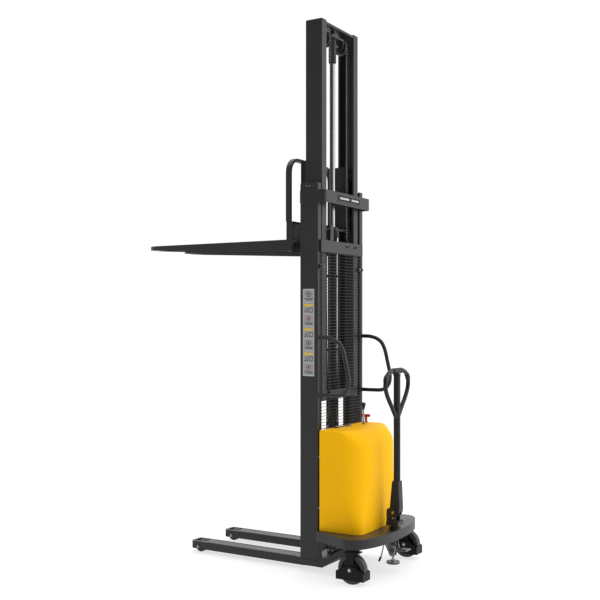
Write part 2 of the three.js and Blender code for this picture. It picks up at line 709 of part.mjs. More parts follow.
// T-shaped link of the parallelogram steering, in the tray of the deck
{
  const y = STEER.y + STEER.arm;
  let s = join(
    box(-STEER.x, STEER.x, y - 8, y + 8, 244, 250),
    bar("z", -STEER.x, y, 8, 244, 250, 14),
    bar("z", STEER.x, y, 8, 244, 250, 14),
    box(-8, 8, TILLER.y + STEER.arm, y, 244, 250),
    bar("z", 0, TILLER.y + STEER.arm, 8, 244, 250, 14),
  );
  s = cut(
    s,
    bar("z", -STEER.x, y, 4.5, 240, 255, 12),
    bar("z", STEER.x, y, 5, 240, 255, 12),
    bar("z", 0, TILLER.y + STEER.arm, 5, 240, 255, 12),
  );
  part("steering_link", s, "zinc");
}

// ---- parking brake ------------------------------------------------------------------------
{
  const y = BRAKE.y;
  const cheek = prism("x", [[-331, 225.5], [-331, 190], [-322, 172], [-360, 100], [-382, 100], [-398, 165], [-398, 205], [-372, 225.5]], 20, 24);
  const top = box(-24, 24, -372, -331, 221, 225.5);
  const tie = box(-24, 24, -334, -330, 190, 225.5);
  const post = join(box(-22, 22, -386, -356, 100, 108));
  const s = cut(join(cheek, cheek.mirror([1, 0, 0]), top, tie, post), bar("z", 0, y, 10, 90, 120, 16), bar("z", 0, y, 10, 215, 230, 16));
  part("brake_bracket", s, "zinc");
  const foot = join(bar("z", 0, y, 9.4, 60, 215, 16), bar("z", 0, y, 41, 57, 65, 28), bar("z", 0, y, 39, 50, 58, 28));
  part("brake_foot", foot, "black");
  const pedal = join(
    prism("x", [[-396, 160], [-392, 150], [-404, 128], [-470, 140], [-478, 143], [-478, 150], [-404, 146]], 25, 30),
    prism("x", [[-396, 160], [-392, 150], [-404, 128], [-470, 140], [-478, 143], [-478, 150], [-404, 146]], -30, -25),
    box(-30, 30, -478, -425, 144, 150),
    bar("x", -390, 162, 9, 24.5, 30, 12),
    bar("x", -390, 162, 9, -30, -24.5, 12),
  );
  part("brake_pedal", pedal, "zinc");
  const lever = join(
    bar("x", -326, 182, 7, -36, -24.5, 12),
    tube([[-30, -326, 182], [-30.5, -322, 168], [-32, -316, 140], [-34, -309, 108], [-36, -302, 84]], 4, 10, 14),
    tube([[-35.5, -303.5, 89], [-37.5, -299, 78], [-40, -294, 66]], 7, 10, 6),
  );
  part("brake_release_lever", lever, "black");
}

group.position.set(0, -Y_MIDDLE, 0);
export default group;
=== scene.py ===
import json
from math import cos, pi, radians, sin, sqrt

import bmesh
import bpy
from mathutils import Matrix, Vector

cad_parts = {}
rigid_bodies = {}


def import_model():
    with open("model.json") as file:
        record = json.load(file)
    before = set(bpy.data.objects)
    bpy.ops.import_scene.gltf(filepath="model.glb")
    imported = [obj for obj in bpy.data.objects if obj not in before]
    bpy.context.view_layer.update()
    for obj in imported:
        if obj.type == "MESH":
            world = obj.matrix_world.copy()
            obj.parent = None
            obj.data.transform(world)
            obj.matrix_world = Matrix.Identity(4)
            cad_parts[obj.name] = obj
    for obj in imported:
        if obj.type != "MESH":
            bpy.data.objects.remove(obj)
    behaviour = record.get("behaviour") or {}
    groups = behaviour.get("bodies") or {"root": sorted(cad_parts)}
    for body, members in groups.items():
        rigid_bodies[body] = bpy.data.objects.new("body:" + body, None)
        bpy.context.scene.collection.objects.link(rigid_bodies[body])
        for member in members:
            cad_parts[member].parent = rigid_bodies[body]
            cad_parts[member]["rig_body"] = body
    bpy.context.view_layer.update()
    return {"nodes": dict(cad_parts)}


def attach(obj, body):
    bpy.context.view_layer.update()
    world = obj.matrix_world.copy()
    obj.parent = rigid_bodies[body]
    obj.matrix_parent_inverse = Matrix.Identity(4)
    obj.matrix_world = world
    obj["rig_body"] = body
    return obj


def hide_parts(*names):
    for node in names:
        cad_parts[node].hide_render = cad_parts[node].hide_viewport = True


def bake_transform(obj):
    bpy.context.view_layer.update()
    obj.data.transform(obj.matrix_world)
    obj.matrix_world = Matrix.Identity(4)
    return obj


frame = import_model()
NODES = frame["nodes"]
Y_MIDDLE = 453.0  # the drawing's Y runs from the rear face of the outer mast, in millimetres
scene = bpy.context.scene


# ---------------------------------------------------------------- materials
def _node(nt, kind, x=0, y=0, **values):
    n = nt.nodes.new(kind)
    n.location = (x, y)
    for k, v in values.items():
        if k in n.inputs:
            n.inputs[k].default_value = v
        else:
            setattr(n, k, v)
    return n


def finish_of(
    name,
    base,
    rough,
    metal=0.0,
    grain=(1, 1, 1),
    grain_scale=900.0,
    grain_strength=0.08,
    mottle=0.07,
    mottle_scale=7.0,
    rough_range=0.08,
    tint=None,
    dust=0.0,
    dust_colour=(0.30, 0.28, 0.25, 1),
    specks=0.0,
    speck_colour=(0.35, 0.35, 0.35, 1),
    coat=0.0,
    coat_rough=0.15,
    ior=1.5,
    scuff=0.0,
    scuff_colour=(0.16, 0.16, 0.16, 1),
    scuff_top=0.35,
    waves=None,
    spec=0.5,
):
    m = bpy.data.materials.new(name)
    m.use_nodes = True
    nt = m.node_tree
    b = nt.nodes["Principled BSDF"]
    link = nt.links.new
    coord = _node(nt, "ShaderNodeTexCoord", -1700, 0)
    # broad mottling of colour and gloss
    broad = _node(nt, "ShaderNodeTexNoise", -1300, 300, Scale=mottle_scale, Detail=6.0, Roughness=0.6)
    link(coord.outputs["Object"], broad.inputs["Vector"])
    low = [max(0.0, c * (1 - mottle)) for c in base[:3]] + [1]
    high = [min(1.0, c * (1 + mottle)) for c in (tint or base)[:3]] + [1]
    ramp = _node(nt, "ShaderNodeValToRGB", -1050, 300)
    ramp.color_ramp.elements[0].position, ramp.color_ramp.elements[0].color = 0.3, low
    ramp.color_ramp.elements[1].position, ramp.color_ramp.elements[1].color = 0.7, high
    link(broad.outputs["Fac"], ramp.inputs["Fac"])
    colour = ramp.outputs["Color"]
    # fine grain
    stretch = _node(nt, "ShaderNodeMapping", -1500, -200)
    stretch.inputs["Scale"].default_value = grain
    link(coord.outputs["Object"], stretch.inputs["Vector"])
    fine = _node(nt, "ShaderNodeTexNoise", -1300, -200, Scale=grain_scale, Detail=3.0, Roughness=0.55)
    link(stretch.outputs["Vector"], fine.inputs["Vector"])
    height = fine.outputs["Fac"]
    bump = _node(nt, "ShaderNodeBump", -500, -300, Strength=grain_strength, Distance=0.0006)
    link(height, bump.inputs["Height"])
    normal = bump.outputs["Normal"]
    if waves:
        axis, scale, strength = waves
        wave = _node(nt, "ShaderNodeTexWave", -900, -500, Scale=scale, Distortion=0.0)
        wave.bands_direction = axis
        link(coord.outputs["Object"], wave.inputs["Vector"])
        rib = _node(nt, "ShaderNodeBump", -300, -500, Strength=strength, Distance=0.002)
        link(wave.outputs["Fac"], rib.inputs["Height"])
        link(normal, rib.inputs["Normal"])
        normal = rib.outputs["Normal"]
    if specks:
        cells = _node(nt, "ShaderNodeTexNoise", -1300, 700, Scale=260.0, Detail=2.0, Roughness=0.4)
        link(coord.outputs["Object"], cells.inputs["Vector"])
        few = _node(nt, "ShaderNodeMapRange", -1050, 700)
        few.inputs["From Min"].default_value, few.inputs["From Max"].default_value = 0.72, 0.80
        few.inputs["To Max"].default_value = specks
        link(cells.outputs["Fac"], few.inputs["Value"])
        mix = _node(nt, "ShaderNodeMix", -750, 500, data_type="RGBA")
        link(few.outputs["Result"], mix.inputs["Factor"])
        link(colour, mix.inputs["A"])
        mix.inputs["B"].default_value = speck_colour
        colour = mix.outputs["Result"]
    if scuff:
        # rubbed patches, mostly low down where wheels, boots and pallets touch
        place = _node(nt, "ShaderNodeSeparateXYZ", -1300, 1000)
        link(coord.outputs["Object"], place.inputs["Vector"])
        near = _node(nt, "ShaderNodeMapRange", -1050, 1000)
        near.inputs["From Min"].default_value, near.inputs["From Max"].default_value = scuff_top, 0.0
        link(place.outputs["Z"], near.inputs["Value"])
        patches = _node(nt, "ShaderNodeTexNoise", -1300, 1200, Scale=26.0, Detail=9.0, Roughness=0.72)
        link(coord.outputs["Object"], patches.inputs["Vector"])
        cut = _node(nt, "ShaderNodeMapRange", -1050, 1200)
        cut.inputs["From Min"].default_value, cut.inputs["From Max"].default_value = 0.60, 0.68
        link(patches.outputs["Fac"], cut.inputs["Value"])
        both = _node(nt, "ShaderNodeMath", -850, 1100, operation="MULTIPLY")
        link(near.outputs["Result"], both.inputs[0])
        link(cut.outputs["Result"], both.inputs[1])
        amount = _node(nt, "ShaderNodeMath", -700, 1100, operation="MULTIPLY")
        link(both.outputs[0], amount.inputs[0])
        amount.inputs[1].default_value = scuff
        mix = _node(nt, "ShaderNodeMix", -550, 800, data_type="RGBA")
        link(amount.outputs[0], mix.inputs["Factor"])
        link(colour, mix.inputs["A"])
        mix.inputs["B"].default_value = scuff_colour
        colour = mix.outputs["Result"]
    if dust:
        geo = _node(nt, "ShaderNodeNewGeometry", -1300, -700)
        up = _node(nt, "ShaderNodeSeparateXYZ", -1100, -700)
        link(geo.outputs["Normal"], up.inputs["Vector"])
        soft = _node(nt, "ShaderNodeMapRange", -900, -700)
        soft.inputs["From Min"].default_value, soft.inputs["From Max"].default_value = 0.6, 1.0
        link(up.outputs["Z"], soft.inputs["Value"])
        spread = _node(nt, "ShaderNodeMath", -700, -700, operation="MULTIPLY")
        link(soft.outputs["Result"], spread.inputs[0])
        link(broad.outputs["Fac"], spread.inputs[1])
        amount = _node(nt, "ShaderNodeMath", -550, -700, operation="MULTIPLY")
        link(spread.outputs[0], amount.inputs[0])
        amount.inputs[1].default_value = dust
        mix = _node(nt, "ShaderNodeMix", -350, 500, data_type="RGBA")
        link(amount.outputs[0], mix.inputs["Factor"])
        link(colour, mix.inputs["A"])
        mix.inputs["B"].default_value = dust_colour
        colour = mix.outputs["Result"]
    gloss = _node(nt, "ShaderNodeMapRange", -750, 0)
    gloss.inputs["From Min"].default_value, gloss.inputs["From Max"].default_value = 0.3, 0.7
    gloss.inputs["To Min"].default_value = max(0.02, rough - rough_range)
    gloss.inputs["To Max"].default_value = min(1.0, rough + rough_range)
    link(broad.outputs["Fac"], gloss.inputs["Value"])
    link(colour, b.inputs["Base Color"])
    link(gloss.outputs["Result"], b.inputs["Roughness"])
    link(normal, b.inputs["Normal"])
    b.inputs["Metallic"].default_value = metal
    b.inputs["IOR"].default_value = ior
    b.inputs["Specular IOR Level"].default_value = spec
    if coat:
        b.inputs["Coat Weight"].default_value = coat
        b.inputs["Coat Roughness"].default_value = coat_rough
    return m


PAINT = finish_of("charcoal_powder_coat", (0.0150, 0.0152, 0.0160), 0.40, grain_scale=420, grain_strength=0.16, mottle=0.10, mottle_scale=3.5, rough_range=0.06, dust=0.05, scuff=0.25, specks=0.12, speck_colour=(0.03, 0.03, 0.032, 1), scuff_colour=(0.06, 0.06, 0.06, 1), spec=0.37)
# glossier and darker copy of the charcoal for up-facing faces: the gloss is real, the darker base colour is painted
# shade
TOP_GLOSS_AND_PAINTED_SHADE = finish_of("glossy_charcoal_with_painted_shade", (0.0125, 0.0125, 0.0128), 0.35, grain_scale=420, grain_strength=0.12, mottle=0.10, mottle_scale=3.5, rough_range=0.05, dust=0.05, scuff=0.2, specks=0.12, speck_colour=(0.03, 0.03, 0.032, 1), scuff_colour=(0.06, 0.06, 0.06, 1), spec=0.5)
GUARD_BLACK = finish_of("black_gloss_sheet", (0.004, 0.004, 0.0042), 0.40, grain_scale=480, grain_strength=0.14, mottle=0.12, rough_range=0.07, dust=0.03, scuff=0.2, scuff_colour=(0.04, 0.04, 0.04, 1), spec=0.17)
BLACK = finish_of("black_satin_paint", (0.0055, 0.0055, 0.006), 0.36, grain_scale=480, grain_strength=0.14, mottle=0.12, rough_range=0.07, dust=0.03, scuff=0.2, scuff_colour=(0.05, 0.05, 0.05, 1), spec=0.29)
WIRE = finish_of("black_coated_wire", (0.006, 0.006, 0.0065), 0.42, grain_scale=500, grain_strength=0.2, mottle=0.1, dust=0.05, spec=0.4)
YELLOW = finish_of("yellow_moulded_shell", (0.93, 0.482, 0.003), 0.52, grain_scale=640, grain_strength=0.06, mottle=0.02, mottle_scale=2.2, rough_range=0.05, dust=0.02, dust_colour=(0.7, 0.5, 0.1, 1), spec=0.07)
CHROME = finish_of("hard_chrome", (0.36, 0.365, 0.375), 0.22, metal=1.0, grain=(1, 1, 0.02), grain_scale=700, grain_strength=0.015, mottle=0.05, mottle_scale=4, rough_range=0.04)
ZINC = finish_of("zinc_plate", (0.30, 0.30, 0.30), 0.27, metal=1.0, grain_scale=300, grain_strength=0.12, mottle=0.14, mottle_scale=18, rough_range=0.09, tint=(0.33, 0.33, 0.32))
BRAKE_ZINC = finish_of("dark_zinc_plate", (0.10, 0.10, 0.10), 0.24, metal=1.0, grain_scale=300, grain_strength=0.12, mottle=0.3, mottle_scale=30, rough_range=0.09, tint=(0.20, 0.20, 0.197))
BOLT = finish_of("zinc_bolts", (0.42, 0.42, 0.40), 0.30, metal=1.0, grain_scale=500, grain_strength=0.1, mottle=0.12, mottle_scale=40, rough_range=0.08)
TURNED = finish_of("turned_steel", (0.16, 0.16, 0.165), 0.36, metal=1.0, grain=(0.03, 1, 1), grain_scale=900, grain_strength=0.12, mottle=0.10, mottle_scale=20, rough_range=0.08)
CHAIN = finish_of("oiled_chain_steel", (0.020, 0.0195, 0.019), 0.55, metal=0.1, grain_scale=500, grain_strength=0.15, mottle=0.2, mottle_scale=55, rough_range=0.1, spec=0.10)
BARREL = finish_of("cylinder_paint", (0.026, 0.026, 0.027), 0.72, grain_scale=420, grain_strength=0.16, mottle=0.12, mottle_scale=5.0, rough_range=0.06, dust=0.05, specks=0.08, speck_colour=(0.05, 0.05, 0.052, 1), spec=0.02)
CHAIN_PIN = finish_of("bright_chain_pins", (0.52, 0.51, 0.50), 0.45, metal=0.15, grain_scale=500, grain_strength=0.1, mottle=0.15, mottle_scale=60, rough_range=0.08)
NYLON = finish_of("dark_nylon", (0.010, 0.010, 0.0105), 0.44, grain_scale=300, grain_strength=0.2, mottle=0.15, mottle_scale=20, dust=0.06, scuff=0.35, scuff_top=0.1, scuff_colour=(0.05, 0.05, 0.05, 1), spec=0.35)
TREAD = finish_of("black_polyurethane", (0.015, 0.015, 0.0155), 0.48, grain_scale=220, grain_strength=0.3, mottle=0.2, mottle_scale=14, dust=0.04, scuff=0.3, scuff_top=0.12, scuff_colour=(0.05, 0.05, 0.05, 1), spec=0.5)
RUBBER = finish_of("black_rubber", (0.007, 0.007, 0.007), 0.6, grain_scale=260, grain_strength=0.4, mottle=0.2, mottle_scale=14, dust=0.05, spec=0.35)
GRIP = finish_of("ribbed_grip_rubber", (0.008, 0.008, 0.008), 0.5, grain_scale=260, grain_strength=0.3, mottle=0.15, mottle_scale=20, waves=("X", 60.0, 0.6), spec=0.4)
PLASTIC = finish_of("black_moulded_plastic", (0.007, 0.007, 0.0075), 0.36, grain_scale=350, grain_strength=0.15, mottle=0.12, mottle_scale=20, spec=0.4)
CASE = finish_of("dark_polypropylene", (0.030, 0.034, 0.040), 0.55, grain_scale=200, grain_strength=0.3, mottle=0.15, mottle_scale=9)
GREY = finish_of("grey_instrument_plastic", (0.20, 0.205, 0.215), 0.4, grain_scale=300, grain_strength=0.12, mottle=0.08, mottle_scale=25)
GLASS = finish_of("dark_window", (0.012, 0.016, 0.020), 0.08, grain_scale=60, grain_strength=0.01, mottle=0.2, mottle_scale=30, coat=1.0, coat_rough=0.03)
RED = finish_of("red_moulded_plastic", (0.42, 0.022, 0.015), 0.36, grain_scale=350, grain_strength=0.12, mottle=0.08, mottle_scale=22, spec=0.35)
BRASS = finish_of("brass_fitting", (0.50, 0.30, 0.09), 0.32, metal=1.0, grain_scale=350, grain_strength=0.1, mottle=0.12, mottle_scale=40)
PLATE = finish_of("etched_nameplate", (0.007, 0.007, 0.008), 0.50, grain=(0.05, 1, 1), grain_scale=700, grain_strength=0.1, mottle=0.08, mottle_scale=20, spec=0.12)
PLATE_EDGE = finish_of("nameplate_bare_metal", (0.34, 0.34, 0.345), 0.45, grain=(0.05, 1, 1), grain_scale=700, grain_strength=0.1, mottle=0.08, mottle_scale=20, spec=0.3)
LABEL_PALE = finish_of("label_pale_grey", (0.42, 0.43, 0.44), 0.45, grain_scale=200, grain_strength=0.04, mottle=0.05, mottle_scale=30)
LABEL_WHITE = finish_of("label_white", (0.30, 0.305, 0.31), 0.45, grain_scale=200, grain_strength=0.04, mottle=0.05, mottle_scale=30)
LABEL_YELLOW = finish_of("label_yellow", (0.70, 0.46, 0.05), 0.45, grain_scale=200, grain_strength=0.04, mottle=0.05, mottle_scale=30)
LABEL_DARK = finish_of("label_dark", (0.03, 0.03, 0.033), 0.45, grain_scale=200, grain_strength=0.04, mottle=0.08, mottle_scale=30)
LABEL_RED = finish_of("label_red", (0.40, 0.05, 0.04), 0.45, grain_scale=200, grain_strength=0.04, mottle=0.08, mottle_scale=30)
WELD = finish_of("painted_weld_bead", (0.014, 0.0142, 0.015), 0.36, grain_scale=160, grain_strength=0.9, mottle=0.2, mottle_scale=60, spec=0.55)


# ---------------------------------------------------------------- forms, in drawing millimetres
def bevelled(bm, width, seg=2, angle=28):
    if width > 0:
        edges = [e for e in bm.edges if len(e.link_faces) == 2 and e.calc_face_angle(0) > radians(angle)]
        if edges:
            bmesh.ops.bevel(bm, geom=edges, offset=width, offset_type="OFFSET", segments=seg, profile=0.5, affect="EDGES", clamp_overlap=True)
    return bm


def along(axis, t, u, v):
    """A point at t along the axis and (u, v) across it: x takes (y, z), y takes (x, z), z takes (x, y)."""
    return (t, u, v) if axis == "x" else (u, t, v) if axis == "y" else (u, v, t)


def box(x0, x1, y0, y1, z0, z1, w=1.2, seg=2):
    bm = bmesh.new()
    bmesh.ops.create_cube(
        bm,
        size=1,
        matrix=Matrix.Translation(((x0 + x1) / 2, (y0 + y1) / 2, (z0 + z1) / 2)) @ Matrix.Diagonal((abs(x1 - x0), abs(y1 - y0), abs(z1 - z0), 1)),
    )
    return bevelled(bm, w, seg)


def prism(axis, points, a, b, w=1.2, seg=2, angle=28):
    bm = bmesh.new()
    lo = [bm.verts.new(along(axis, a, u, v)) for u, v in points]
    hi = [bm.verts.new(along(axis, b, u, v)) for u, v in points]
    bm.faces.new(lo)
    bm.faces.new(hi)
    n = len(points)
    for i in range(n):
        bm.faces.new((lo[i], lo[(i + 1) % n], hi[(i + 1) % n], hi[i]))
    bmesh.ops.recalc_face_normals(bm, faces=bm.faces)
    return bevelled(bm, w, seg, angle)


def lathe(axis, c1, c2, profile, n=40, closed=False):
    """Turned form: profile points are (radius, place along the axis)."""
    bm = bmesh.new()
    rings = []
    for r, t in profile:
        if r < 1e-6:
            rings.append([bm.verts.new(along(axis, t, c1, c2))])
        else:
            rings.append([bm.verts.new(along(axis, t, c1 + r * cos(2 * pi * i / n), c2 + r * sin(2 * pi * i / n))) for i in range(n)])
    pairs = list(zip(rings, rings[1:])) + ([(rings[-1], rings[0])] if closed else [])
    for p, q in pairs:
        for i in range(n):
            j = (i + 1) % n
            if len(p) == 1 and len(q) == 1:
                continue
            if len(p) == 1:
                bm.faces.new((p[0], q[j], q[i]))
            elif len(q) == 1:
                bm.faces.new((p[i], p[j], q[0]))
            else:
                bm.faces.new((p[i], p[j], q[j], q[i]))
    bmesh.ops.recalc_face_normals(bm, faces=bm.faces)
    return bm


def bar(axis, c1, c2, r, a, b, n=32, w=1.0, hole=0.0):
    w = min(w, r * 0.45, abs(b - a) * 0.45)
    arc = [(i / 3) * pi / 2 for i in range(4)]
    start = [(r - w + w * sin(t), a + w - w * cos(t)) for t in arc]
    end = [(r - w + w * cos(t), b - w + w * sin(t)) for t in arc]
    if hole:
        return lathe(axis, c1, c2, [(hole, a), *start, *end, (hole, b)], n, closed=True)
    return lathe(axis, c1, c2, [(0, a), *start, *end, (0, b)], n)


def smooth_path(points, step=6.0, closed=False):
    """Points along a centripetal Catmull-Rom curve through the given points."""
    p = [Vector(q) for q in points]
    n = len(p)
    out = []
    count = n if closed else n - 1
    for i in range(count):
        p1, p2 = p[i], p[(i + 1) % n]
        p0 = p[i - 1] if (closed or i > 0) else p1 * 2 - p2
        p3 = p[(i + 2) % n] if (closed or i + 2 < n) else p2 * 2 - p1
        t0 = 0.0
        t1 = t0 + max(1e-6, (p1 - p0).length) ** 0.5
        t2 = t1 + max(1e-6, (p2 - p1).length) ** 0.5
        t3 = t2 + max(1e-6, (p3 - p2).length) ** 0.5
        k = max(1, int(round((p2 - p1).length / step)))
        for j in range(k):
            t = t1 + (t2 - t1) * j / k
            a1 = p0 * ((t1 - t) / (t1 - t0)) + p1 * ((t - t0) / (t1 - t0))
            a2 = p1 * ((t2 - t) / (t2 - t1)) + p2 * ((t - t1) / (t2 - t1))
            a3 = p2 * ((t3 - t) / (t3 - t2)) + p3 * ((t - t2) / (t3 - t2))
            b1 = a1 * ((t2 - t) / (t2 - t0)) + a2 * ((t - t0) / (t2 - t0))
            b2 = a2 * ((t3 - t) / (t3 - t1)) + a3 * ((t - t1) / (t3 - t1))
            out.append(b1 * ((t2 - t) / (t2 - t1)) + b2 * ((t - t1) / (t2 - t1)))
    if not closed:
        out.append(p[-1])
    return out


def tube(points, r, n=20, step=6.0, closed=False, smooth=True, radii=None, flat=None):
    """A round rod along points. flat=(a, b) makes it an ellipse, a across and b along the frame's second axis."""
    path = smooth_path(points, step, closed) if smooth else [Vector(q) for q in points]
    bm = bmesh.new()
    count = len(path)
    tangents = []
    for i in range(count):
        a = path[i - 1] if (i > 0 or closed) else path[i]
        b = path[(i + 1) % count] if (i + 1 < count or closed) else path[i]
        tangents.append((b - a).normalized())
    t = tangents[0]
    ref = Vector((1, 0, 0)) if abs(t.x) < 0.9 else Vector((0, 0, 1))
    u = (ref - t * ref.dot(t)).normalized()
    rings = []
    for i in range(count):
        t = tangents[i]
        u = (u - t * u.dot(t)).normalized()
        v = t.cross(u)
        ru, rv = flat if flat else (r, r)
        k = radii[i] if radii else 1.0
        rings.append([bm.verts.new(path[i] + u * (ru * k * cos(2 * pi * j / n)) + v * (rv * k * sin(2 * pi * j / n))) for j in range(n)])
    for i in range(count - (0 if closed else 1)):
        p, q = rings[i], rings[(i + 1) % count]
        for j in range(n):
            bm.faces.new((p[j], p[(j + 1) % n], q[(j + 1) % n], q[j]))
    if not closed:
        bm.faces.new(rings[0])
        bm.faces.new(rings[-1])
    bmesh.ops.recalc_face_normals(bm, faces=bm.faces)
    return bm


def ball(c, r, scale=(1, 1, 1), n=24):
    bm = bmesh.new()
    bmesh.ops.create_uvsphere(bm, u_segments=n, v_segments=n // 2, radius=r, matrix=Matrix.Translation(c) @ Matrix.Diagonal((*scale, 1)))
    return bm


def hexagon(axis, c1, c2, flats, a, b, w=0.9, turn=0.0):
    r = flats / sqrt(3)
    pts = [(c1 + r * cos(pi / 3 * i + turn), c2 + r * sin(pi / 3 * i + turn)) for i in range(6)]
    return prism(axis, pts, min(a, b), max(a, b), w, 2)


def rounded(x0, x1, y0, y1, r, n=5):
    """Corner points of a rounded rectangle."""
    pts = []
    for cx, cy, a0 in ((x1 - r, y1 - r, 0), (x0 + r, y1 - r, 90), (x0 + r, y0 + r, 180), (x1 - r, y0 + r, 270)):
        for i in range(n + 1):
            a = radians(a0 + 90 * i / n)
            pts.append((cx + r * cos(a), cy + r * sin(a)))
    return pts


class Build:
    """Collects forms, each with the number of its material in the piece's list."""

    def __init__(self):
        self.bm = bmesh.new()

    def add(self, form, mat=0, turn=None):
        for f in form.faces:
            f.material_index = mat
        if turn is not None:
            bmesh.ops.transform(form, matrix=turn, verts=form.verts)
        me = bpy.data.meshes.new("scratch")
        form.to_mesh(me)
        form.free()
        self.bm.from_mesh(me)
        bpy.data.meshes.remove(me)
        return self

    def bolt(self, axis, c1, c2, base, out, flats=13, mat=0, washer=True, turn=0.3):
        """A hexagon head on a washer, standing off a face at base in the direction out (+1 or -1)."""
        if washer:
            a, b = sorted((base, base + out * 1.8))
            self.add(bar(axis, c1, c2, flats * 0.72, a, b, 24, 0.4), mat)
        h = flats * 0.55
        self.add(hexagon(axis, c1, c2, flats, base + out * 1.6, base + out * (1.6 + h), 0.8, turn), mat)
        a, b = sorted((base + out * (1.4 + h), base + out * (2.0 + h)))
        self.add(bar(axis, c1, c2, flats * 0.40, a, b, 20, 0.25), mat)
        return self

    def bead(self, points, r=3.0, mat=0, step=5.0):
        """A weld bead with the ripples of the passes."""
        path = smooth_path(points, step)
        radii = [1.0 + 0.16 * (1 if i % 2 else -1) for i in range(len(path))]
        self.add(tube([tuple(q) for q in path], r, 8, smooth=False, radii=radii), mat)
        return self


def piece(name, build, mats, body, replaces=(), smooth=34, blend=None, weighted=True):
    bm = build.bm
    for v in bm.verts:
        v.co = Vector((v.co.x, v.co.y - Y_MIDDLE, v.co.z)) * 0.001
    me = bpy.data.meshes.new(name)
    bm.to_mesh(me)
    bm.free()
    for m in mats:
        me.materials.append(m)
    for p in me.polygons:
        p.use_smooth = True
    me.set_sharp_from_angle(angle=radians(smooth))
    ob = bpy.data.objects.new(name, me)
    scene.collection.objects.link(ob)
    if blend:
        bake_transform(ob)
    else:
        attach(ob, body)
        if weighted:
            w = ob.modifiers.new("normals", "WEIGHTED_NORMAL")
            w.keep_sharp = True
    if replaces:
        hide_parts(*replaces)
    return ob


def from_node(node, width=1.5, seg=2, angle=28, flat=1.0):
    """The CAD solid with its edges broken, as a form in drawing millimetres."""
    bm = bmesh.new()
    bm.from_mesh(NODES[node].data)
    for v in bm.verts:
        v.co = v.co * 1000 + Vector((0, Y_MIDDLE, 0))
    bmesh.ops.remove_doubles(bm, verts=bm.verts, dist=0.02)
    bmesh.ops.dissolve_limit(bm, angle_limit=radians(flat), verts=bm.verts, edges=bm.edges)
    bmesh.ops.recalc_face_normals(bm, faces=bm.faces)
    return bevelled(bm, width, seg, angle)


def refined(node, mats, width=1.5, seg=2, angle=28, dress=None, smooth=34):
    b = Build()
    b.add(from_node(node, width, seg, angle), 0)
    if dress:
        dress(b)
    return piece(node + "_detail", b, mats, NODES[node]["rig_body"], (node,), smooth)


SIDES = (("left", -1), ("right", 1))


def mirrored(k):
    """For forms drawn on the right-hand side."""
    return Matrix.Identity(4) if k > 0 else Matrix.Diagonal((-1, 1, 1, 1))


# ---------------------------------------------------------------- outer mast
def dress_mast(k):
    def dress(b):
        for y, z in ((81.6, 2413.7), (61, 2412)):
            b.add(bar("x", y, z, 4.0, *sorted((k * 299.8, k * 302.0)), 20, 0.8), 1)
        # the foot is a little thicker, with a weld along its upper edge
        b.add(box(*sorted((k * 299.6, k * 302.6)), -2.4, 129.6, 43.4, 79, 1.2), 0)
        b.bead([(k * 301.4, -2, 81.5), (k * 301.6, 60, 81.2), (k * 301.4, 129, 81.5)], 2.8, 2)
        b.bead([(k * 299, -1.5, 100), (k * 299, -1.5, 160), (k * 299, -1.5, 222)], 2.2, 2)
    return dress


for side, k in SIDES:
    refined("outer_mast_" + side, [PAINT, BOLT, WELD, BLACK], 2.2, 3, dress=dress_mast(k))


def dress_band(b):
    # blank rating plate with a bare border and four rivets
    b.add(prism("y", rounded(-141, 155, 2323, 2372, 5), -57.6, -55.4, 0.3, 1), 2)
    b.add(prism("y", rounded(-137.5, 151.5, 2326.5, 2368.5, 3.5), -58.0, -57.4, 0.2, 1), 1)
    b.add(prism("y", rounded(-136.3, 150.3, 2327.7, 2367.3, 3), -58.15, -57.4, 0.2, 1), 2)
    for x0, x1 in ((-118, 2), (34, 132)):
        b.add(prism("y", rounded(x0, x1, 2341, 2354, 2.0, 3), -58.5, -58.0, 0, 1), 4)
    for x in (-137.5, 151.5):
        for z in (2327, 2368):
            b.add(bar("y", x, z, 2.2, -59.2, -57.0, 14, 0.8), 1)
    for k in (-1, 1):
        b.bead([(k * 301, 8, 2305), (k * 301, 60, 2305), (k * 301, 120, 2305)], 2.4, 3)


refined("capacity_band", [PAINT, PLATE_EDGE, PLATE, WELD, LABEL_PALE], 1.8, 3, dress=dress_band)


def dress_cross(b):
    for x, z in ((64, 2052), (175, 2051)):
        b.bolt("y", x, z, -14, -1, 15, 1)


refined("mast_cross_plate", [PAINT, BOLT], 1.5, 2, dress=dress_cross)

# welded wire guard
b = Build()
zs0, zs1 = 897.0, 1997.0
rows = 57
for i in range(rows + 1):
    z = zs0 + (zs1 - zs0) * i / rows
    r = 2.6 if i in (0, rows) else 1.7
    b.add(tube([(-269, -7.6, z), (269, -7.6, z)], r, 8, smooth=False), 0)
for i in range(6):
    x = -266.5 + 533 * i / 5
    r = 2.6 if i in (0, 5) else 2.0
    b.add(tube([(x, -4.4, 894.6), (x, -4.4, 1999.4)], r, 8, smooth=False), 0)
for k in (-1, 1):
    for z in (1910,):
        b.add(prism("y", rounded(min(k * 262, k * 286), max(k * 262, k * 286), z - 13, z + 13, 5), -9.2, -6.6, 0.6), 0)
        b.bolt("y", k * 275, z, -9.2, -1, 10, 0)
        b.add(prism("y", rounded(min(k * 228, k * 256), max(k * 228, k * 256), z - 12, z + 12, 4), -11.6, -8.4, 0.8), 0)
        b.add(bar("y", k * 243, z, 3.6, -13.4, -11.4, 18, 0.8), 1)
piece("mast_guard_mesh", b, [WIRE, BOLT], "chassis", ("mast_guard",))


def dress_bracket(b):
    for z in (2142, 2118):
        b.bolt("y", -150, z, -13, -1, 9, 2, washer=False)
    for x in (-152, 152):
        b.bolt("z", x, 65, 2174, 1, 9, 2)
    b.add(bar("z", 0, 65, 27, 2173.6, 2177, 40, 1.0, hole=18.4), 0)


refined("cylinder_bracket", [PAINT, BOLT, TURNED], 1.5, 2, dress=dress_bracket)


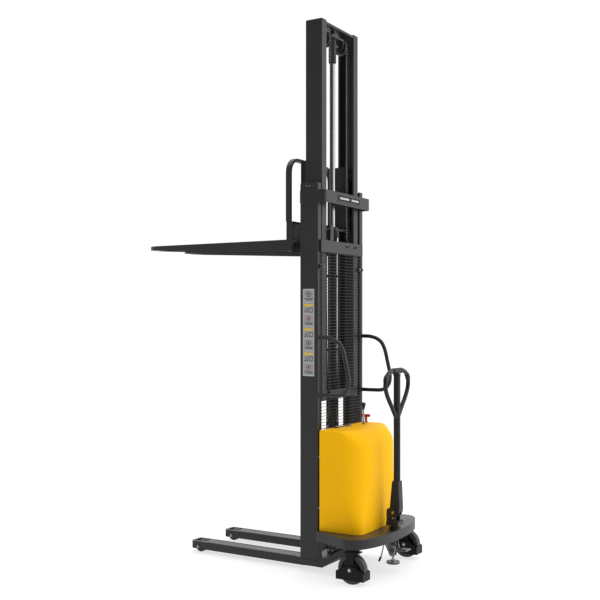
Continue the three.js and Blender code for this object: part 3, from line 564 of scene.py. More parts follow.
# ---------------------------------------------------------------- base
def dress_base(b):
    for k in (-1, 1):
        b.bead([(k * 300, -3, 222), (k * 300, -3, 150), (k * 300, -3, 60)], 2.6, 1)
        b.bead([(k * 299, -20, 225.5), (k * 299, -130, 225.5), (k * 299, -240, 225.5)], 2.4, 1)


refined("base_frame", [PAINT, WELD], 1.6, 2, dress=dress_base)


def dress_deck(b):
    for k in (-1, 1):
        b.bead([(k * 296, -4, 270.6), (k * 200, -3.6, 270.8), (k * 90, -4, 270.6)], 1.8, 1, step=9)
        # housings of the swivel bearings, under the plate
        b.add(bar("z", k * 381, -288, 31, 211.5, 227, 40, 1.5, hole=24), 0)
    # the plate's upper face is smoother than its skirt, and it takes a darker copy of the charcoal: painted shade on
    # the upper face
    b.bm.normal_update()
    for f in b.bm.faces:
        if f.normal.z > 0.9 and f.calc_center_median().z > 268 and f.material_index == 0:
            f.material_index = 2


refined("deck", [PAINT, WELD, TOP_GLOSS_AND_PAINTED_SHADE], 4.0, 3, dress=dress_deck, angle=40)


def dress_leg(k):
    def dress(b):
        b.bead([(k * 139, 130, 75), (k * 193, 130, 76), (k * 247, 130, 75)], 3.0, 1)
        b.bead([(k * 247.5, 130, 74), (k * 247.5, 130, 50), (k * 247.5, 130, 27)], 3.0, 1)
        b.bead([(k * 138.5, 130, 74), (k * 138.5, 130, 50), (k * 138.5, 130, 27)], 3.0, 1)
        # wear strips along the top edges, where the forks come down
        for dx in (-1, 1):
            b.add(prism("z", rounded(k * 193 + dx * 45 - 4, k * 193 + dx * 45 + 4, 200, 900, 3.5, 4), 74.8, 76.2, 0.5, 1), 0)
        # upper faces take the glossier copy of the charcoal, whose darker base colour is painted shade
        b.bm.normal_update()
        for f in b.bm.faces:
            if f.normal.z > 0.9 and f.calc_center_median().z > 74 and f.material_index == 0:
                f.material_index = 2
    return dress


for side, k in SIDES:
    refined("leg_" + side, [PAINT, WELD, TOP_GLOSS_AND_PAINTED_SHADE], 3.0, 3, dress=dress_leg(k))
    x = k * 193
    b = Build()
    b.add(bar("x", 968, 39, 10, x - 57, x + 57, 28, 1.0), 0)
    for d in (-1, 1):
        a, c = sorted((x + d * 54.4, x + d * 56.6))
        b.add(bar("x", 968, 39, 13, a, c, 28, 0.8), 1)
        a, c = sorted((x + d * 57, x + d * 60.2))
        b.add(bar("x", 968, 39, 6.5, a, c, 24, 0.8), 0)
        b.add(bar("x", 968, 39, 3.0, *sorted((x + d * 59.8, x + d * 61.4)), 12, 0.5), 0)
        b.add(bar("x", 968, 39, 21, *sorted((x + d * 30.6, x + d * 33.0)), 28, 0.5, hole=10.2), 0)
    piece("load_axle_" + side + "_detail", b, [ZINC, PAINT], "chassis", ("load_axle_" + side,))
    b = Build()
    b.add(
        lathe(
            "x",
            968,
            39,
            [(19, x - 28), (34, x - 28), (34.5, x - 30), (37, x - 29.4), (38.6, x - 27), (39, x - 24), (39, x + 24), (38.6, x + 27), (37, x + 29.4), (34.5, x + 30), (34, x + 28), (19, x + 28)],
            56,
            closed=True,
        ),
        0,
    )
    for d in (-1, 1):
        b.add(bar("x", 968, 39, 19.2, *sorted((x + d * 19, x + d * 29)), 32, 0.8, hole=10.6), 1)
        b.add(bar("x", 968, 39, 16, *sorted((x + d * 28.6, x + d * 29.6)), 32, 0.3, hole=13), 2)
    piece("load_roller_" + side + "_detail", b, [NYLON, TURNED, BLACK], "load_wheel_" + side, ("load_roller_" + side,))


# ---------------------------------------------------------------- power pack
b = Build()
b.add(bar("x", -76, 168, 33, -272, -152, 48, 4), 0)
for x in (-262, -254, -168, -160):
    b.add(bar("x", -76, 168, 34.0, x - 2.4, x + 2.4, 48, 1.0, hole=31), 0)
b.add(bar("x", -76, 168, 26, -153, -110, 40, 1.5), 2)
b.add(bar("x", -76, 168, 31, -110, -60.2, 40, 3), 1)
for dy, dz in ((-15, -15), (15, -15), (-15, 15), (15, 15)):
    b.bolt("x", -76 + dy, 168 + dz, -272, -1, 7, 3, washer=False)
b.add(box(-230, -120, -100, -52, 103.3, 138, 2), 0)
b.add(bar("z", -220, -76, 6, 198, 214, 20, 1), 3)
b.add(bar("z", -190, -76, 6, 198, 214, 20, 1), 3)
b.add(tube([(-84, -60, 186), (-70, -46, 200), (-40, -30, 216), (40, -24, 226)], 6.5, 14), 4)
piece("pump_motor_detail", b, [BLACK, TURNED, ZINC, BOLT, RUBBER], "chassis", ("pump_motor",))

b = Build()
b.add(box(-40, 240, -150, -46, 103.4, 212, 9, 4), 0)
b.add(bar("z", 180, -98, 18, 211, 223.6, 32, 2), 1)
for i in range(12):
    a = 2 * pi * i / 12
    b.add(bar("z", 180 + 18 * cos(a), -98 + 18 * sin(a), 1.6, 213, 222, 8, 0.4), 1)
for x in (0, 60, 120, 200):
    b.add(box(x - 3, x + 3, -151.6, -149, 116, 200, 1.2), 0)
b.add(prism("y", rounded(16, 40, 130, 190, 4), -152.2, -149.6, 0.5), 2)
piece("hydraulic_tank_detail", b, [CASE, PLASTIC, GREY], "chassis", ("hydraulic_tank",))

b = Build()
b.add(box(-190, 190, -255, -75, 270.6, 486, 5, 3), 0)
b.add(box(-188, 188, -253, -77, 485, 504.6, 4, 3), 0)
for i in range(13):
    x = -174 + 29 * i
    b.add(box(x - 4, x + 4, -256, -74, 288, 470, 1.4), 0)
for x in (-150, 150):
    b.add(bar("z", x, -110, 12, 504, 508, 24, 1), 1)
    b.add(bar("z", x, -110, 8, 507, 519.6, 24, 1.5), 2)
for x in (-90, -30, 30, 90):
    b.add(bar("z", x, -165, 15, 504, 508.5, 28, 1.5), 1)
b.add(prism("z", rounded(-60, 60, -236, -200, 5), 504.2, 505.4, 0.3), 3)
piece("battery_detail", b, [CASE, PLASTIC, BRASS, GREY], "chassis", ("battery",))


# ---------------------------------------------------------------- cover
def cover_form(inset=0.0):
    """Rings from the foot to the crown: the rear corners open out with height, and the top edge is small
    along the sides and large along the rear."""
    half, y0, y1, z0, z1, rf = 298.0 - inset, -3.4 - inset, -297.0 + inset, 270.4, 892.0 - inset, 14.0 - inset
    spots = [("front", 1, 90 - 90 * i / 6) for i in range(7)]
    spots += [("side", 1, i / 8) for i in range(1, 8)]
    spots += [("rear", 1, -90 * i / 24) for i in range(25)]
    spots += [("back", 1, i / 14) for i in range(1, 14)]
    spots += [("rear", -1, -90 - 90 * i / 24) for i in range(25)]
    spots += [("side", -1, i / 8) for i in range(7, 0, -1)]
    spots += [("front", -1, 180 - 90 * i / 6) for i in range(7)]
    spots += [("face", 1, i / 10) for i in range(1, 10)]

    def at(spot, z):
        kind, k, v = spot
        f = min(1.0, max(0.0, (z - z0) / 340))
        rc = 52 + (170 - 52) * f * f * (3 - 2 * f) - inset
        a = radians(v)
        if kind == "front":
            return k * (half - rf) + rf * cos(a), y0 - rf + rf * sin(a), cos(a), sin(a)
        if kind == "side":
            return k * half, y0 - rf + v * (y1 + rc - y0 + rf), k, 0.0
        if kind == "rear":
            return k * (half - rc) + rc * cos(a), y1 + rc + rc * sin(a), cos(a), sin(a)
        if kind == "back":
            return (half - rc) * (1 - 2 * v), y1, 0.0, -1.0
        return (half - rf) * (2 * v - 1), y0, 0.0, 1.0

    bm = bmesh.new()
    rings = []
    levels = [("wall", t) for t in (0.0, 0.015, 0.08, 0.16, 0.24, 0.32, 0.4, 0.48, 0.56, 0.64, 0.72, 0.8, 0.9, 1.0)]
    levels += [("crown", pi / 2 * i / 14) for i in range(15)]
    for kind, t in levels:
        verts = []
        for spot in spots:
            w = max(0.0, -at(spot, z1)[3])
            r = max(2.0, 10 + (115 - 10) * w * w * (3 - 2 * w) - inset)
            z = z0 + (z1 - r - 3 - z0) * t if kind == "wall" else z1 - r + r * sin(t)
            back = 0.0 if kind == "wall" else r * (1 - cos(t))
            x, y, nx, ny = at(spot, z)
            lean = 6.0 * max(0.0, -ny) * min(1.0, max(0.0, (z - z0) / 500))
            verts.append(bm.verts.new((x - nx * back, y - ny * back + lean, z)))
        rings.append(verts)
    n = len(spots)
    for p, q in zip(rings, rings[1:]):
        for i in range(n):
            bm.faces.new((p[i], p[(i + 1) % n], q[(i + 1) % n], q[i]))
    bm.faces.new(rings[-1])
    return bm, rings[0]


b = Build()
outer, _ = cover_form(0)
inner, _ = cover_form(4.5)
bmesh.ops.reverse_faces(inner, faces=inner.faces)
b.add(outer, 0)
b.add(inner, 0)
b.bm.edges.ensure_lookup_table()
rim = [e for e in b.bm.edges if len(e.link_faces) == 1]
bmesh.ops.bridge_loops(b.bm, edges=rim)
bmesh.ops.recalc_face_normals(b.bm, faces=b.bm.faces)
# side screws
for k in (-1, 1):
    for z in (729, 409):
        b.add(bar("x", -10.5, z, 6.2, *sorted((k * 297.0, k * 299.8)), 22, 0.9), 1)
        b.add(bar("x", -10.5, z, 2.6, *sorted((k * 299.2, k * 300.2)), 6, 0.1), 2)
# key bezel, valve lever boot, handle collar
b.add(bar("z", -125, -36, 19, 888, 897.0, 36, 1.6), 2)
b.add(bar("z", -60, -36, 17, 888, 894.6, 36, 1.4), 2)
b.add(bar("z", -60, -36, 12, 894, 895.8, 32, 0.8), 4)
b.add(bar("z", -125, -36, 12.5, 895, 898.0, 32, 1.0), 1)
b.add(bar("z", 255, -50, 12, 888, 899.6, 32, 1.6, hole=6.2), 3)
b.add(lathe("z", 150, -85, [(11.5, 888), (11.8, 891.5), (11, 893.6), (9, 894.2), (9, 888)], 32, closed=True), 4)
piece("cover_shell", b, [YELLOW, BOLT, PLASTIC, RED, RUBBER], "chassis", ("cover",), smooth=40)

b = Build()
b.add(prism("z", rounded(-40, 20, -74, -44, 6), 892.1, 898.0, 1.4, 3), 0)
b.add(prism("z", rounded(-34, 14, -69, -49, 4), 897.6, 899.3, 0.5, 2), 1)
for i in range(8):
    b.add(box(-30 + 5 * i, -27 + 5 * i, -60, -52 - 0.6 * i, 899.2, 899.6, 0.1, 1), 2 if i < 2 else 3)
for x in (-37, 17):
    for y in (-71, -47):
        b.add(bar("z", x, y, 1.6, 897.6, 898.7, 12, 0.3), 4)
piece("battery_gauge_detail", b, [GREY, GLASS, LABEL_RED, LABEL_PALE, BOLT], "chassis", ("battery_gauge",))

b = Build()
b.add(bar("z", -125, -36, 9, 898.2, 903.2, 28, 1.0), 0)
b.add(bar("z", -125, -36, 2.8, 902, 909, 12, 0.6), 0)
b.add(prism("x", [(-36 + 15.5 * cos(radians(a)), 919 + 12.5 * sin(radians(a))) for a in range(0, 360, 15)], -129.0, -121.0, 2.0, 3), 1)
b.add(bar("x", -36, 924.5, 3.0, -129.3, -120.7, 16, 0.2), 0)
piece("ignition_key_detail", b, [ZINC, PLASTIC], "key", ("ignition_key",))

b = Build()
b.add(bar("z", 255, -50, 5, 855, 900, 24, 0.8), 0)
b.add(bar("z", 255, -50, 8.6, 901.5, 934, 28, 1.2), 0)
b.add(lathe("z", 255, -50, [(8, 918), (8.6, 922), (9.6, 930), (10, 934), (6, 938)], 28), 0)
b.add(
    lathe(
        "y",
        255,
        938,
        [(0, -80.5), (6, -80), (9.2, -77.5), (10.4, -73.5), (10.2, -66), (9.8, -56), (9.7, -48), (9.8, -38), (10.2, -26), (10.4, -19.5), (9.2, -15.4), (6, -13), (0, -12.5)],
        28,
    ),
    0,
)
piece("disconnect_handle_detail", b, [RED], "disconnect", ("disconnect_handle",))

b = Build()
b.add(bar("z", 150, -85, 6, 896, 994, 24, 0.6), 0)
b.add(lathe("z", 150, -85, [(6, 894.6), (8.4, 896), (8.8, 900), (8.0, 905), (6.4, 908), (6, 910)], 28), 0)
b.add(lathe("z", 150, -85, [(0, 988), (6.8, 988), (8.0, 994), (10.6, 1003), (13.4, 1012), (15.0, 1020), (15.1, 1025), (13.4, 1030), (10.4, 1032.6), (6, 1033.8), (0, 1034)], 36), 1)
b.add(lathe("z", 150, -85, [(0, 1033.6), (6.5, 1033.8), (6.7, 1034.0), (0, 1034.6)], 24), 2)
b.add(hexagon("z", 150, -85, 13, 982, 988.4, 0.6), 0)
piece("lowering_lever_detail", b, [ZINC, PLASTIC, LABEL_DARK], "valve_lever", ("lowering_lever",))

# ---------------------------------------------------------------- grab handles
for side, k in SIDES:
    x = k * 288
    path = [(x, -0.4, 1467), (x, -30, 1467), (x, -66, 1465), (x, -112, 1452), (x, -148, 1426), (x, -172, 1380), (x, -190, 1310), (x, -206, 1240), (x, -211, 1195), (x, -203, 1155), (x, -180, 1124), (x, -148, 1111), (x, -80, 1108), (x, -30, 1108), (x, -0.4, 1108)]
    b = Build()
    b.add(tube(path, 12.6, 24, 5), 0)
    for z in (1467, 1108):
        ring = [(x + 12.6 * cos(2 * pi * i / 24), -2.2, z + 12.6 * sin(2 * pi * i / 24)) for i in range(24)]
        b.add(tube(ring, 2.4, 8, 4, closed=True, radii=None), 1)
    piece("grab_handle_" + side + "_detail", b, [PAINT, WELD], "chassis", ("grab_handle_" + side,))

# ---------------------------------------------------------------- lift cylinder
b = Build()
b.add(bar("z", 0, 65, 30, 70.6, 2111, 48, 2, hole=25), 0)
b.add(bar("z", 0, 65, 34, 70.6, 96, 48, 3, hole=25), 0)
b.add(bar("z", 0, 65, 36.8, 2108, 2154, 48, 1.8, hole=18.6), 0)
b.add(bar("z", 0, 65, 24, 2153, 2157.4, 40, 1.2, hole=18.0), 1)
b.add(bar("z", 0, 65, 32.5, 2088, 2104, 48, 1.5, hole=29), 0)
b.add(bar("x", 65, 118, 11, 27, 40, 24, 1.2), 2)
b.add(hexagon("x", 65, 118, 19, 38, 48, 0.8), 2)
b.add(tube([(46, 65, 118), (54, 65, 117), (61, 65, 110), (63, 65, 98), (63, 65, 84), (63, 65, 71)], 7.0, 16), 3)
# leak-off and bleed pipes along the barrel, held by clips
for k in (-1, 1):
    px, py = -k * 10, 65 + k * 34.3
    b.add(tube([(-k * 6, 65 + k * 22, 126), (-k * 8.5, 65 + k * 30, 134), (px, py, 152), (px, py, 1100), (px, py, 2062), (-k * 8.5, 65 + k * 30, 2078), (-k * 6, 65 + k * 22, 2086)], 5.0, 20), 0)
    for z in (420, 900, 1380, 1860):
        b.add(bar("z", px, py, 6.6, z - 8, z + 8, 28, 0.8, hole=5.0), 2)
for z in (420, 900, 1380, 1860):
    b.add(bar("z", 0, 65, 31.2, z - 7, z + 7, 48, 0.5, hole=29.9), 2)
piece("lift_cylinder_detail", b, [BARREL, RUBBER, BARREL, RUBBER], "chassis", ("lift_cylinder_barrel",))

b = Build()
b.add(bar("z", 0, 65, 17.5, 1085, 3246.6, 56, 0.8), 0)
b.add(bar("z", 0, 65, 24.3, 1085, 1115, 48, 1.5), 1)
for z in (1092, 1100, 1108):
    b.add(bar("z", 0, 65, 24.6, z - 1.6, z + 1.6, 48, 0.4, hole=22), 2)
b.add(bar("z", 0, 65, 20.5, 3239, 3246.6, 48, 1.4, hole=17.4), 3)
piece("piston_rod_detail", b, [CHROME, TURNED, RUBBER, PAINT], "inner_mast", ("piston_rod",))


# ---------------------------------------------------------------- inner mast
def dress_inner(k):
    def dress(b):
        b.add(bar("x", 64, 1140, 12, *sorted((k * 279, k * 283.4)), 28, 1.2), 1)
        b.add(bar("x", 64, 1140, 17, *sorted((k * 279.4, k * 281.2)), 28, 0.5, hole=11), 1)
        b.bead([(k * 183, 6, 3443), (k * 183, 60, 3443), (k * 183, 116, 3443)], 1.8, 2)
    return dress


for side, k in SIDES:
    refined("inner_mast_" + side, [PAINT, TURNED, WELD], 2.0, 3, dress=dress_inner(k))
refined("inner_top_tie", [PAINT, BOLT], 3.0, 3)
refined("inner_bottom_tie", [PAINT, BOLT], 2.0, 2)


def dress_head(b):
    for k in (-1, 1):
        b.add(bar("x", 64, 3370, 15.5, *sorted((k * 122.4, k * 126)), 32, 0.8, hole=12), 1)
        b.add(bar("x", 64, 3370, 15.5, *sorted((k * 80, k * 83)), 32, 0.8, hole=12), 0)
        b.add(bar("x", 64, 3370, 12, *sorted((k * 55.0, k * 57.5)), 28, 0.8), 1)
    ring = [(25.4 * cos(2 * pi * i / 24), 65 + 25.4 * sin(2 * pi * i / 24), 3397.4) for i in range(24)]
    b.add(tube(ring, 2.4, 8, 4, closed=True), 2)
    b.add(hexagon("z", 0, 65, 38, 3412, 3426, 1.4), 1)


refined("crosshead", [PAINT, BOLT, WELD], 2.5, 3, dress=dress_head)

for side, k in SIDES:
    x = k * 107
    b = Build()
    b.add(
        lathe(
            "x",
            64,
            3370,
            [(12.5, x - 14), (23, x - 14), (24, x - 12.6), (29, x - 12), (40, x - 12), (42, x - 13.6), (49.4, x - 14), (50, x - 13), (50, x - 11.2), (47, x - 9.9), (42.4, x - 9.4), (41.5, x - 7), (41.5, x + 7), (42.4, x + 9.4), (47, x + 9.9), (50, x + 11.2), (50, x + 13), (49.4, x + 14), (42, x + 13.6), (40, x + 12), (29, x + 12), (24, x + 12.6), (23, x + 14), (12.5, x + 14)],
            64,
            closed=True,
        ),
        0,
    )
    for i in range(4):
        a = pi / 4 + pi / 2 * i
        b.add(bar("x", 64 + 33 * cos(a), 3370 + 33 * sin(a), 4, x - 12.4, x + 12.4, 16, 0.4), 1)
    piece("chain_sheave_" + side + "_detail", b, [TURNED, BLACK], "sheave_" + side, ("chain_sheave_" + side,))

# ---------------------------------------------------------------- lift chains
PITCH = 15.875


def link_outline(p, r=6.6, waist=3.4, n=6):
    """Side outline of a link plate between two pins, as (along, across)."""
    pts = []
    for i in range(n + 1):
        a = -pi / 2 + pi * i / n
        pts.append((p / 2 + r * cos(a), r * sin(a)))
    pts.append((0, waist))
    for i in range(n + 1):
        a = pi / 2 + pi * i / n
        pts.append((-p / 2 + r * cos(a), r * sin(a)))
    pts.append((0, -waist))
    return pts


def chain_link(b, x, c, direction, p, outer):
    """One row of plates about centre c (y, z), lying along direction (y, z), and the pin at its end."""
    dy, dz = direction
    layers = ((-7.4, -5.4), (5.4, 7.4), (-1.2, 1.2)) if outer else ((-5.0, -1.8), (1.8, 5.0))
    pts = [(c[0] + u * dy - v * dz, c[1] + u * dz + v * dy) for u, v in link_outline(p)]
    for a, e in layers:
        b.add(prism("x", pts, x + a, x + e, 0, 1), 0)
    b.add(bar("x", c[0] + dy * p / 2, c[1] + dz * p / 2, 3.5, x - 8.4, x + 8.4, 12, 0.8), 1)


def straight_chain(x, y, z0, z1):
    b = Build()
    n = int(round((z1 - z0) / PITCH))
    p = (z1 - z0) / n
    for i in range(n):
        chain_link(b, x, (y, z0 + p * (i + 0.5)), (0, 1), p, i % 2 == 0)
    return b


for side, k in SIDES:
    x = k * 107
    b = straight_chain(x, 15, 2086, 3370)
    # the anchor bolt that the chain hangs from
    b.add(box(x - 9.4, x + 9.4, 8, 22, 2078, 2092, 1.5), 0)
    b.add(bar("z", x, 15, 5, 2068, 2080, 20, 0.5), 0)
    piece(
        "chain_rear_" + side + "_links",
        b,
        [CHAIN, CHAIN_PIN],
        None,
        ("chain_rear_" + side,),
        blend=("chassis", "inner_mast", (x / 1000, (15 - Y_MIDDLE) / 1000, 2.0773), (x / 1000, (15 - Y_MIDDLE) / 1000, 3.370)),
    )
    b = straight_chain(x, 113, 2448, 3370)
    b.add(box(x - 9.4, x + 9.4, 106, 120, 2438, 2452, 1.5), 0)
    b.add(bar("z", x, 113, 5, 2436.4, 2442, 20, 0.5), 0)
    piece(
        "chain_front_" + side + "_links",
        b,
        [CHAIN, CHAIN_PIN],
        None,
        ("chain_front_" + side,),
        blend=("inner_mast", "carriage", (x / 1000, (113 - Y_MIDDLE) / 1000, 3.370), (x / 1000, (113 - Y_MIDDLE) / 1000, 2.4363)),
    )
    b = Build()
    n, r = 10, 49.0
    for i in range(n):
        a0 = pi - pi * i / n
        a1 = pi - pi * (i + 1) / n
        p0 = (64 + r * cos(a0), 3370 + r * sin(a0))
        p1 = (64 + r * cos(a1), 3370 + r * sin(a1))
        c = ((p0[0] + p1[0]) / 2, (p0[1] + p1[1]) / 2)
        length = sqrt((p1[0] - p0[0]) ** 2 + (p1[1] - p0[1]) ** 2)
        chain_link(b, x, c, ((p1[0] - p0[0]) / length, (p1[1] - p0[1]) / length), length, i % 2 == 0)
    piece("chain_arc_" + side, b, [CHAIN, CHAIN_PIN], "inner_mast")


# ---------------------------------------------------------------- carriage
def dress_carriage(b):
    for k in (-1, 1):
        # nuts of the chain anchors, under their arms
        b.add(hexagon("z", k * 107, 113, 17, 2394, 2405.8, 0.8), 1)
        b.add(bar("z", k * 107, 113, 5.5, 2380, 2436, 18, 0.8), 1)
        b.bead([(k * 181.5, 190, 2202), (k * 181.5, 190, 2400), (k * 181.5, 190, 2588)], 2.2, 2, step=9)
        for z in (2240, 2540):
            b.add(bar("x", 64, z, 17, *sorted((k * 179.6, k * 183)), 28, 1.0), 1)


refined("carriage_frame", [PAINT, BOLT, WELD], 2.0, 2, dress=dress_carriage)
for side, k in SIDES:
    for place, z in (("lower", 2240), ("upper", 2540)):
        b = Build()
        lo, hi = sorted((k * 200, k * 225))
        b.add(lathe("x", 64, z, [(26, lo + 1.6), (34, lo + 0.4), (42.5, lo), (45.2, lo + 1), (46.4, lo + 3), (46.5, lo + 6), (46.5, hi - 6), (46.4, hi - 3), (45.2, hi - 1), (42.5, hi), (34, hi - 0.4), (26, hi - 1.6)], 56, closed=True), 0)
        b.add(bar("x", 64, z, 25.6, lo + 3, hi - 3, 40, 0.5, hole=20), 1)
        b.add(bar("x", 64, z, 20.4, lo + 0.6, hi - 0.6, 40, 0.8, hole=12.5), 0)
        piece("carriage_roller_" + place + "_" + side + "_detail", b, [BLACK, TURNED], "roller_" + place + "_" + side, ("carriage_roller_" + place + "_" + side,))

refined("backrest_hoop", [PAINT], 4.5, 4, angle=35)


def dress_fork(k):
    def dress(b):
        x = k * 190
        b.bead([(x - 84, 246, 2087), (x, 247.5, 2087.5), (x + 84, 246, 2087)], 3.0, 1)
        b.bead([(x - 86, 206, 2198), (x, 205.4, 2199), (x + 86, 206, 2198)], 2.6, 1)
    return dress


for side, k in SIDES:
    refined("fork_" + side, [PAINT, WELD], 1.2, 2, dress=dress_fork(k))

# ---------------------------------------------------------------- steering
refined("steering_bearing", [PAINT], 1.2, 2)


def dress_swivel(b):
    for k in (-1, 1):
        b.bolt("x", -388, 374, k * 35, k, 14, 1)
        b.bolt("x", -389, 341, k * 35, k, 10, 2, washer=False)
        b.bolt("z", k * 30, -350, 318, 1, 9, 0)
        b.bolt("z", k * 30, -416, 318, 1, 9, 0)
        b.bead([(k * 36.5, -404, 318.6), (k * 36.8, -372, 318.6), (k * 36.5, -342, 318.6)], 2.0, 3)


refined("tiller_base", [PAINT, BRASS, BOLT, WELD], 1.5, 2, dress=dress_swivel)

# cheeks and web of the lower bracket
b = Build()
outline = [(-428, 402), (-420, 565), (-376, 565), (-360, 402), (-362, 372), (-372, 352), (-392, 343), (-412, 352), (-424, 372)]
for k in (-1, 1):
    b.add(prism("x", outline, *sorted((k * 20, k * 28)), 2.0, 3), 0)
back = [(-428, 402), (-420, 565), (-411, 565), (-419, 402), (-416, 380), (-424, 372)]
b.add(prism("x", [(-428, 402), (-420, 565), (-409, 565), (-417, 404), (-413, 380), (-423, 374)], -21, 21, 1.5, 2), 0)
b.add(prism("x", [(-421, 520), (-420, 565), (-376, 565), (-371.5, 520)], -27.6, 27.6, 2.0, 3), 0)
b.add(bar("z", 0, -398, 21.5, 512, 1236, 40, 1.0), 0)
b.bead([(-28, -421, 566), (-20, -376, 567), (20, -376, 567), (28, -421, 566)], 2.2, 2)
b.bead([(21.5 * cos(2 * pi * i / 12), -398 + 22 * sin(2 * pi * i / 12), 567) for i in range(13)], 2.4, 2)
h = [(14, 965), (60, 1020), (110, 1075), (150, 1128), (165, 1170), (160, 1205), (145, 1228), (112, 1249), (80, 1257)]
loop = [(-4, -398, 953)] + [(-x, -398, z) for x, z in h] + [(-40, -398, 1258), (0, -398, 1258), (40, -398, 1258)] + [(x, -398, z) for x, z in reversed(h)] + [(4, -398, 953)]
b.add(tube(loop, 13.5, 24, 5), 0)
b.add(bar("z", 0, -398, 23.5, 1226, 1240, 40, 1.5), 0)
piece("tiller_arm_detail", b, [BLACK, BOLT, WELD], "tiller", ("tiller_arm",))

b = Build()
ribs = []
x = -62.0
b.add(lathe("x", -398, 1258, [(14.2, -62), (17.4, -62), (17.9, -60.5), (17.9, -57), (17.2, -56)] + [(17.2 + (0.55 if i % 2 else 0.0), -55 + 5.0 * i) for i in range(23)] + [(17.2, 56), (17.9, 57), (17.9, 60.5), (17.4, 62), (14.2, 62)], 40, closed=True), 0)
piece("tiller_grip_detail", b, [GRIP], "tiller", ("tiller_grip",))

# collars on the loop beside the grip
for k in (-1, 1):
    b = Build()
    b.add(tube([(k * 161.5, -398, 1200), (k * 155.5, -398, 1215), (k * 144, -398, 1229)], 16.2, 28, 4), 0)
    piece("tiller_collar_" + ("left" if k < 0 else "right"), b, [PLASTIC], "tiller")

for side, k in SIDES:
    x = k * 381
    def dress_yoke(b, x=x):
        for d in (-1, 1):
            b.bolt("x", -288, 90, x + d * 35.5, d, 14, 1, washer=False)
        b.add(bar("z", x, -288, 33, 192.5, 201, 40, 1.6), 0)
        b.add(bar("z", x, -288, 27, 200, 208, 40, 1.6), 0)
    refined("steer_yoke_" + side, [GUARD_BLACK, BOLT, WELD], 1.4, 2, dress=dress_yoke)
    b = Build()
    w = 25.0
    tread = [(66, x - w), (70, x - w), (82, x - w), (86.5, x - w + 1.6), (89.2, x - w + 4.6), (90, x - w + 9), (90, x + w - 9), (89.2, x + w - 4.6), (86.5, x + w - 1.6), (82, x + w), (70, x + w), (66, x + w)]
    b.add(lathe("x", -288, 90, tread, 72, closed=True), 0)
    hub = [(8.6, x - w + 2), (26, x - w + 2), (30, x - w + 3), (33, x - w + 8), (36, x - w + 11), (54, x - w + 10), (60, x - w + 7), (63, x - w + 1.5), (66.4, x - w + 0.8), (66.4, x + w - 0.8), (63, x + w - 1.5), (60, x + w - 7), (54, x + w - 10), (36, x + w - 11), (33, x + w - 8), (30, x + w - 3), (26, x + w - 2), (8.6, x + w - 2)]
    b.add(lathe("x", -288, 90, hub, 64, closed=True), 1)
    for d in (-1, 1):
        b.add(bar("x", -288, 90, 17.5, *sorted((x + d * 22.4, x + d * 24.4)), 36, 0.4, hole=9), 1)
        for i in range(8):
            a = 2 * pi * i / 8
            b.add(box(-2.2, 2.2, 36, 58, 0, 3.2, 0.8), 1, turn=Matrix.Translation((x + d * 14.5, -288, 90)) @ Matrix.Rotation(a, 4, "X") @ Matrix.Rotation(pi / 2 * d, 4, "Y"))
    piece("steer_wheel_" + side + "_detail", b, [TREAD, NYLON, TURNED], "wheel_" + side, ("steer_wheel_" + side,))
    def dress_guard(b, k=k, x=x):
        for d in (-1, 1):
            b.add(bar("x", -288, 90, 10, *sorted((x + d * 44.8, x + d * 47.0)), 28, 0.6, hole=6.2), 1)
            b.add(hexagon("x", -288, 90, 15, x + d * 41.5 if d < 0 else x + 41.5, x + d * 44.9 if d < 0 else x + 44.9, 0.4), 1)
            b.add(hexagon("x", -288, 90, 15, *sorted((x + d * 46.6, x + d * 48.6)), 0.6), 1)
    refined("toe_guard_" + side, [GUARD_BLACK, BOLT], 1.2, 2, dress=dress_guard)

refined("steering_link", [ZINC], 1.0, 2)


# ---------------------------------------------------------------- parking brake
def dress_brake(b):
    for k in (-1, 1):
        b.bolt("x", -382, 196, k * 24, k, 9, 1)
        b.bolt("x", -345, 212, k * 24, k, 9, 1)
    for z in range(118, 208, 7):
        ring = [(13.2 * cos(2 * pi * i / 16), -371 + 13.2 * sin(2 * pi * i / 16), z + 7 * i / 16) for i in range(17)]
        b.add(tube(ring, 1.5, 8, smooth=False), 1)


refined("brake_bracket", [BRAKE_ZINC, BOLT], 1.0, 2, dress=dress_brake)
b = Build()
b.add(bar("z", 0, -371, 9.4, 60, 215, 28, 1), 0)
b.add(bar("z", 0, -371, 41, 58, 65, 56, 1.6), 0)
b.add(hexagon("z", 0, -371, 22, 64, 76, 1.0), 0)
b.add(lathe("z", 0, -371, [(0, 51.4), (20, 51.4), (22, 50), (36, 50), (39, 51), (41, 53.4), (42, 57), (41.6, 60), (39.8, 61.8), (0, 61.8)], 56), 1)
for i in range(28):
    a = 2 * pi * i / 28
    b.add(box(-1.2, 1.2, 40.0, 42.4, 53.0, 59.5, 0.5), 1, turn=Matrix.Translation((0, -371, 0)) @ Matrix.Rotation(a, 4, "Z"))
piece("brake_foot_detail", b, [ZINC, RUBBER], "brake_plunger", ("brake_foot",))


def dress_pedal(b):
    for y in (-470, -461, -452, -443, -434):
        b.add(box(-24, 24, y - 1.6, y + 1.6, 149.6, 151.6, 0.6), 0)
    for k in (-1, 1):
        b.bolt("x", -390, 162, k * 30, k, 11, 1, washer=False)


refined("brake_pedal", [ZINC, BOLT], 1.2, 2, dress=dress_pedal)
b = Build()
b.add(bar("x", -326, 182, 7, -36, -24.5, 28, 0.8), 0)
b.add(tube([(-30, -326, 182), (-30.5, -322, 168), (-32, -316, 140), (-34, -309, 108), (-36, -302, 84), (-37, -300, 78)], 4.2, 18, 4), 0)
b.add(tube([(-35.5, -303.5, 89), (-36.5, -301.2, 83.5), (-37.5, -299, 78), (-40, -294, 66)], 7, 22, 4), 1)
b.add(ball((-40, -294, 66), 7.0), 1)
piece("brake_release_lever_detail", b, [ZINC, PLASTIC], "brake_release", ("brake_release_lever",))

# ---------------------------------------------------------------- decals: blank pictogram strip on the operator's left mast face
b = Build()


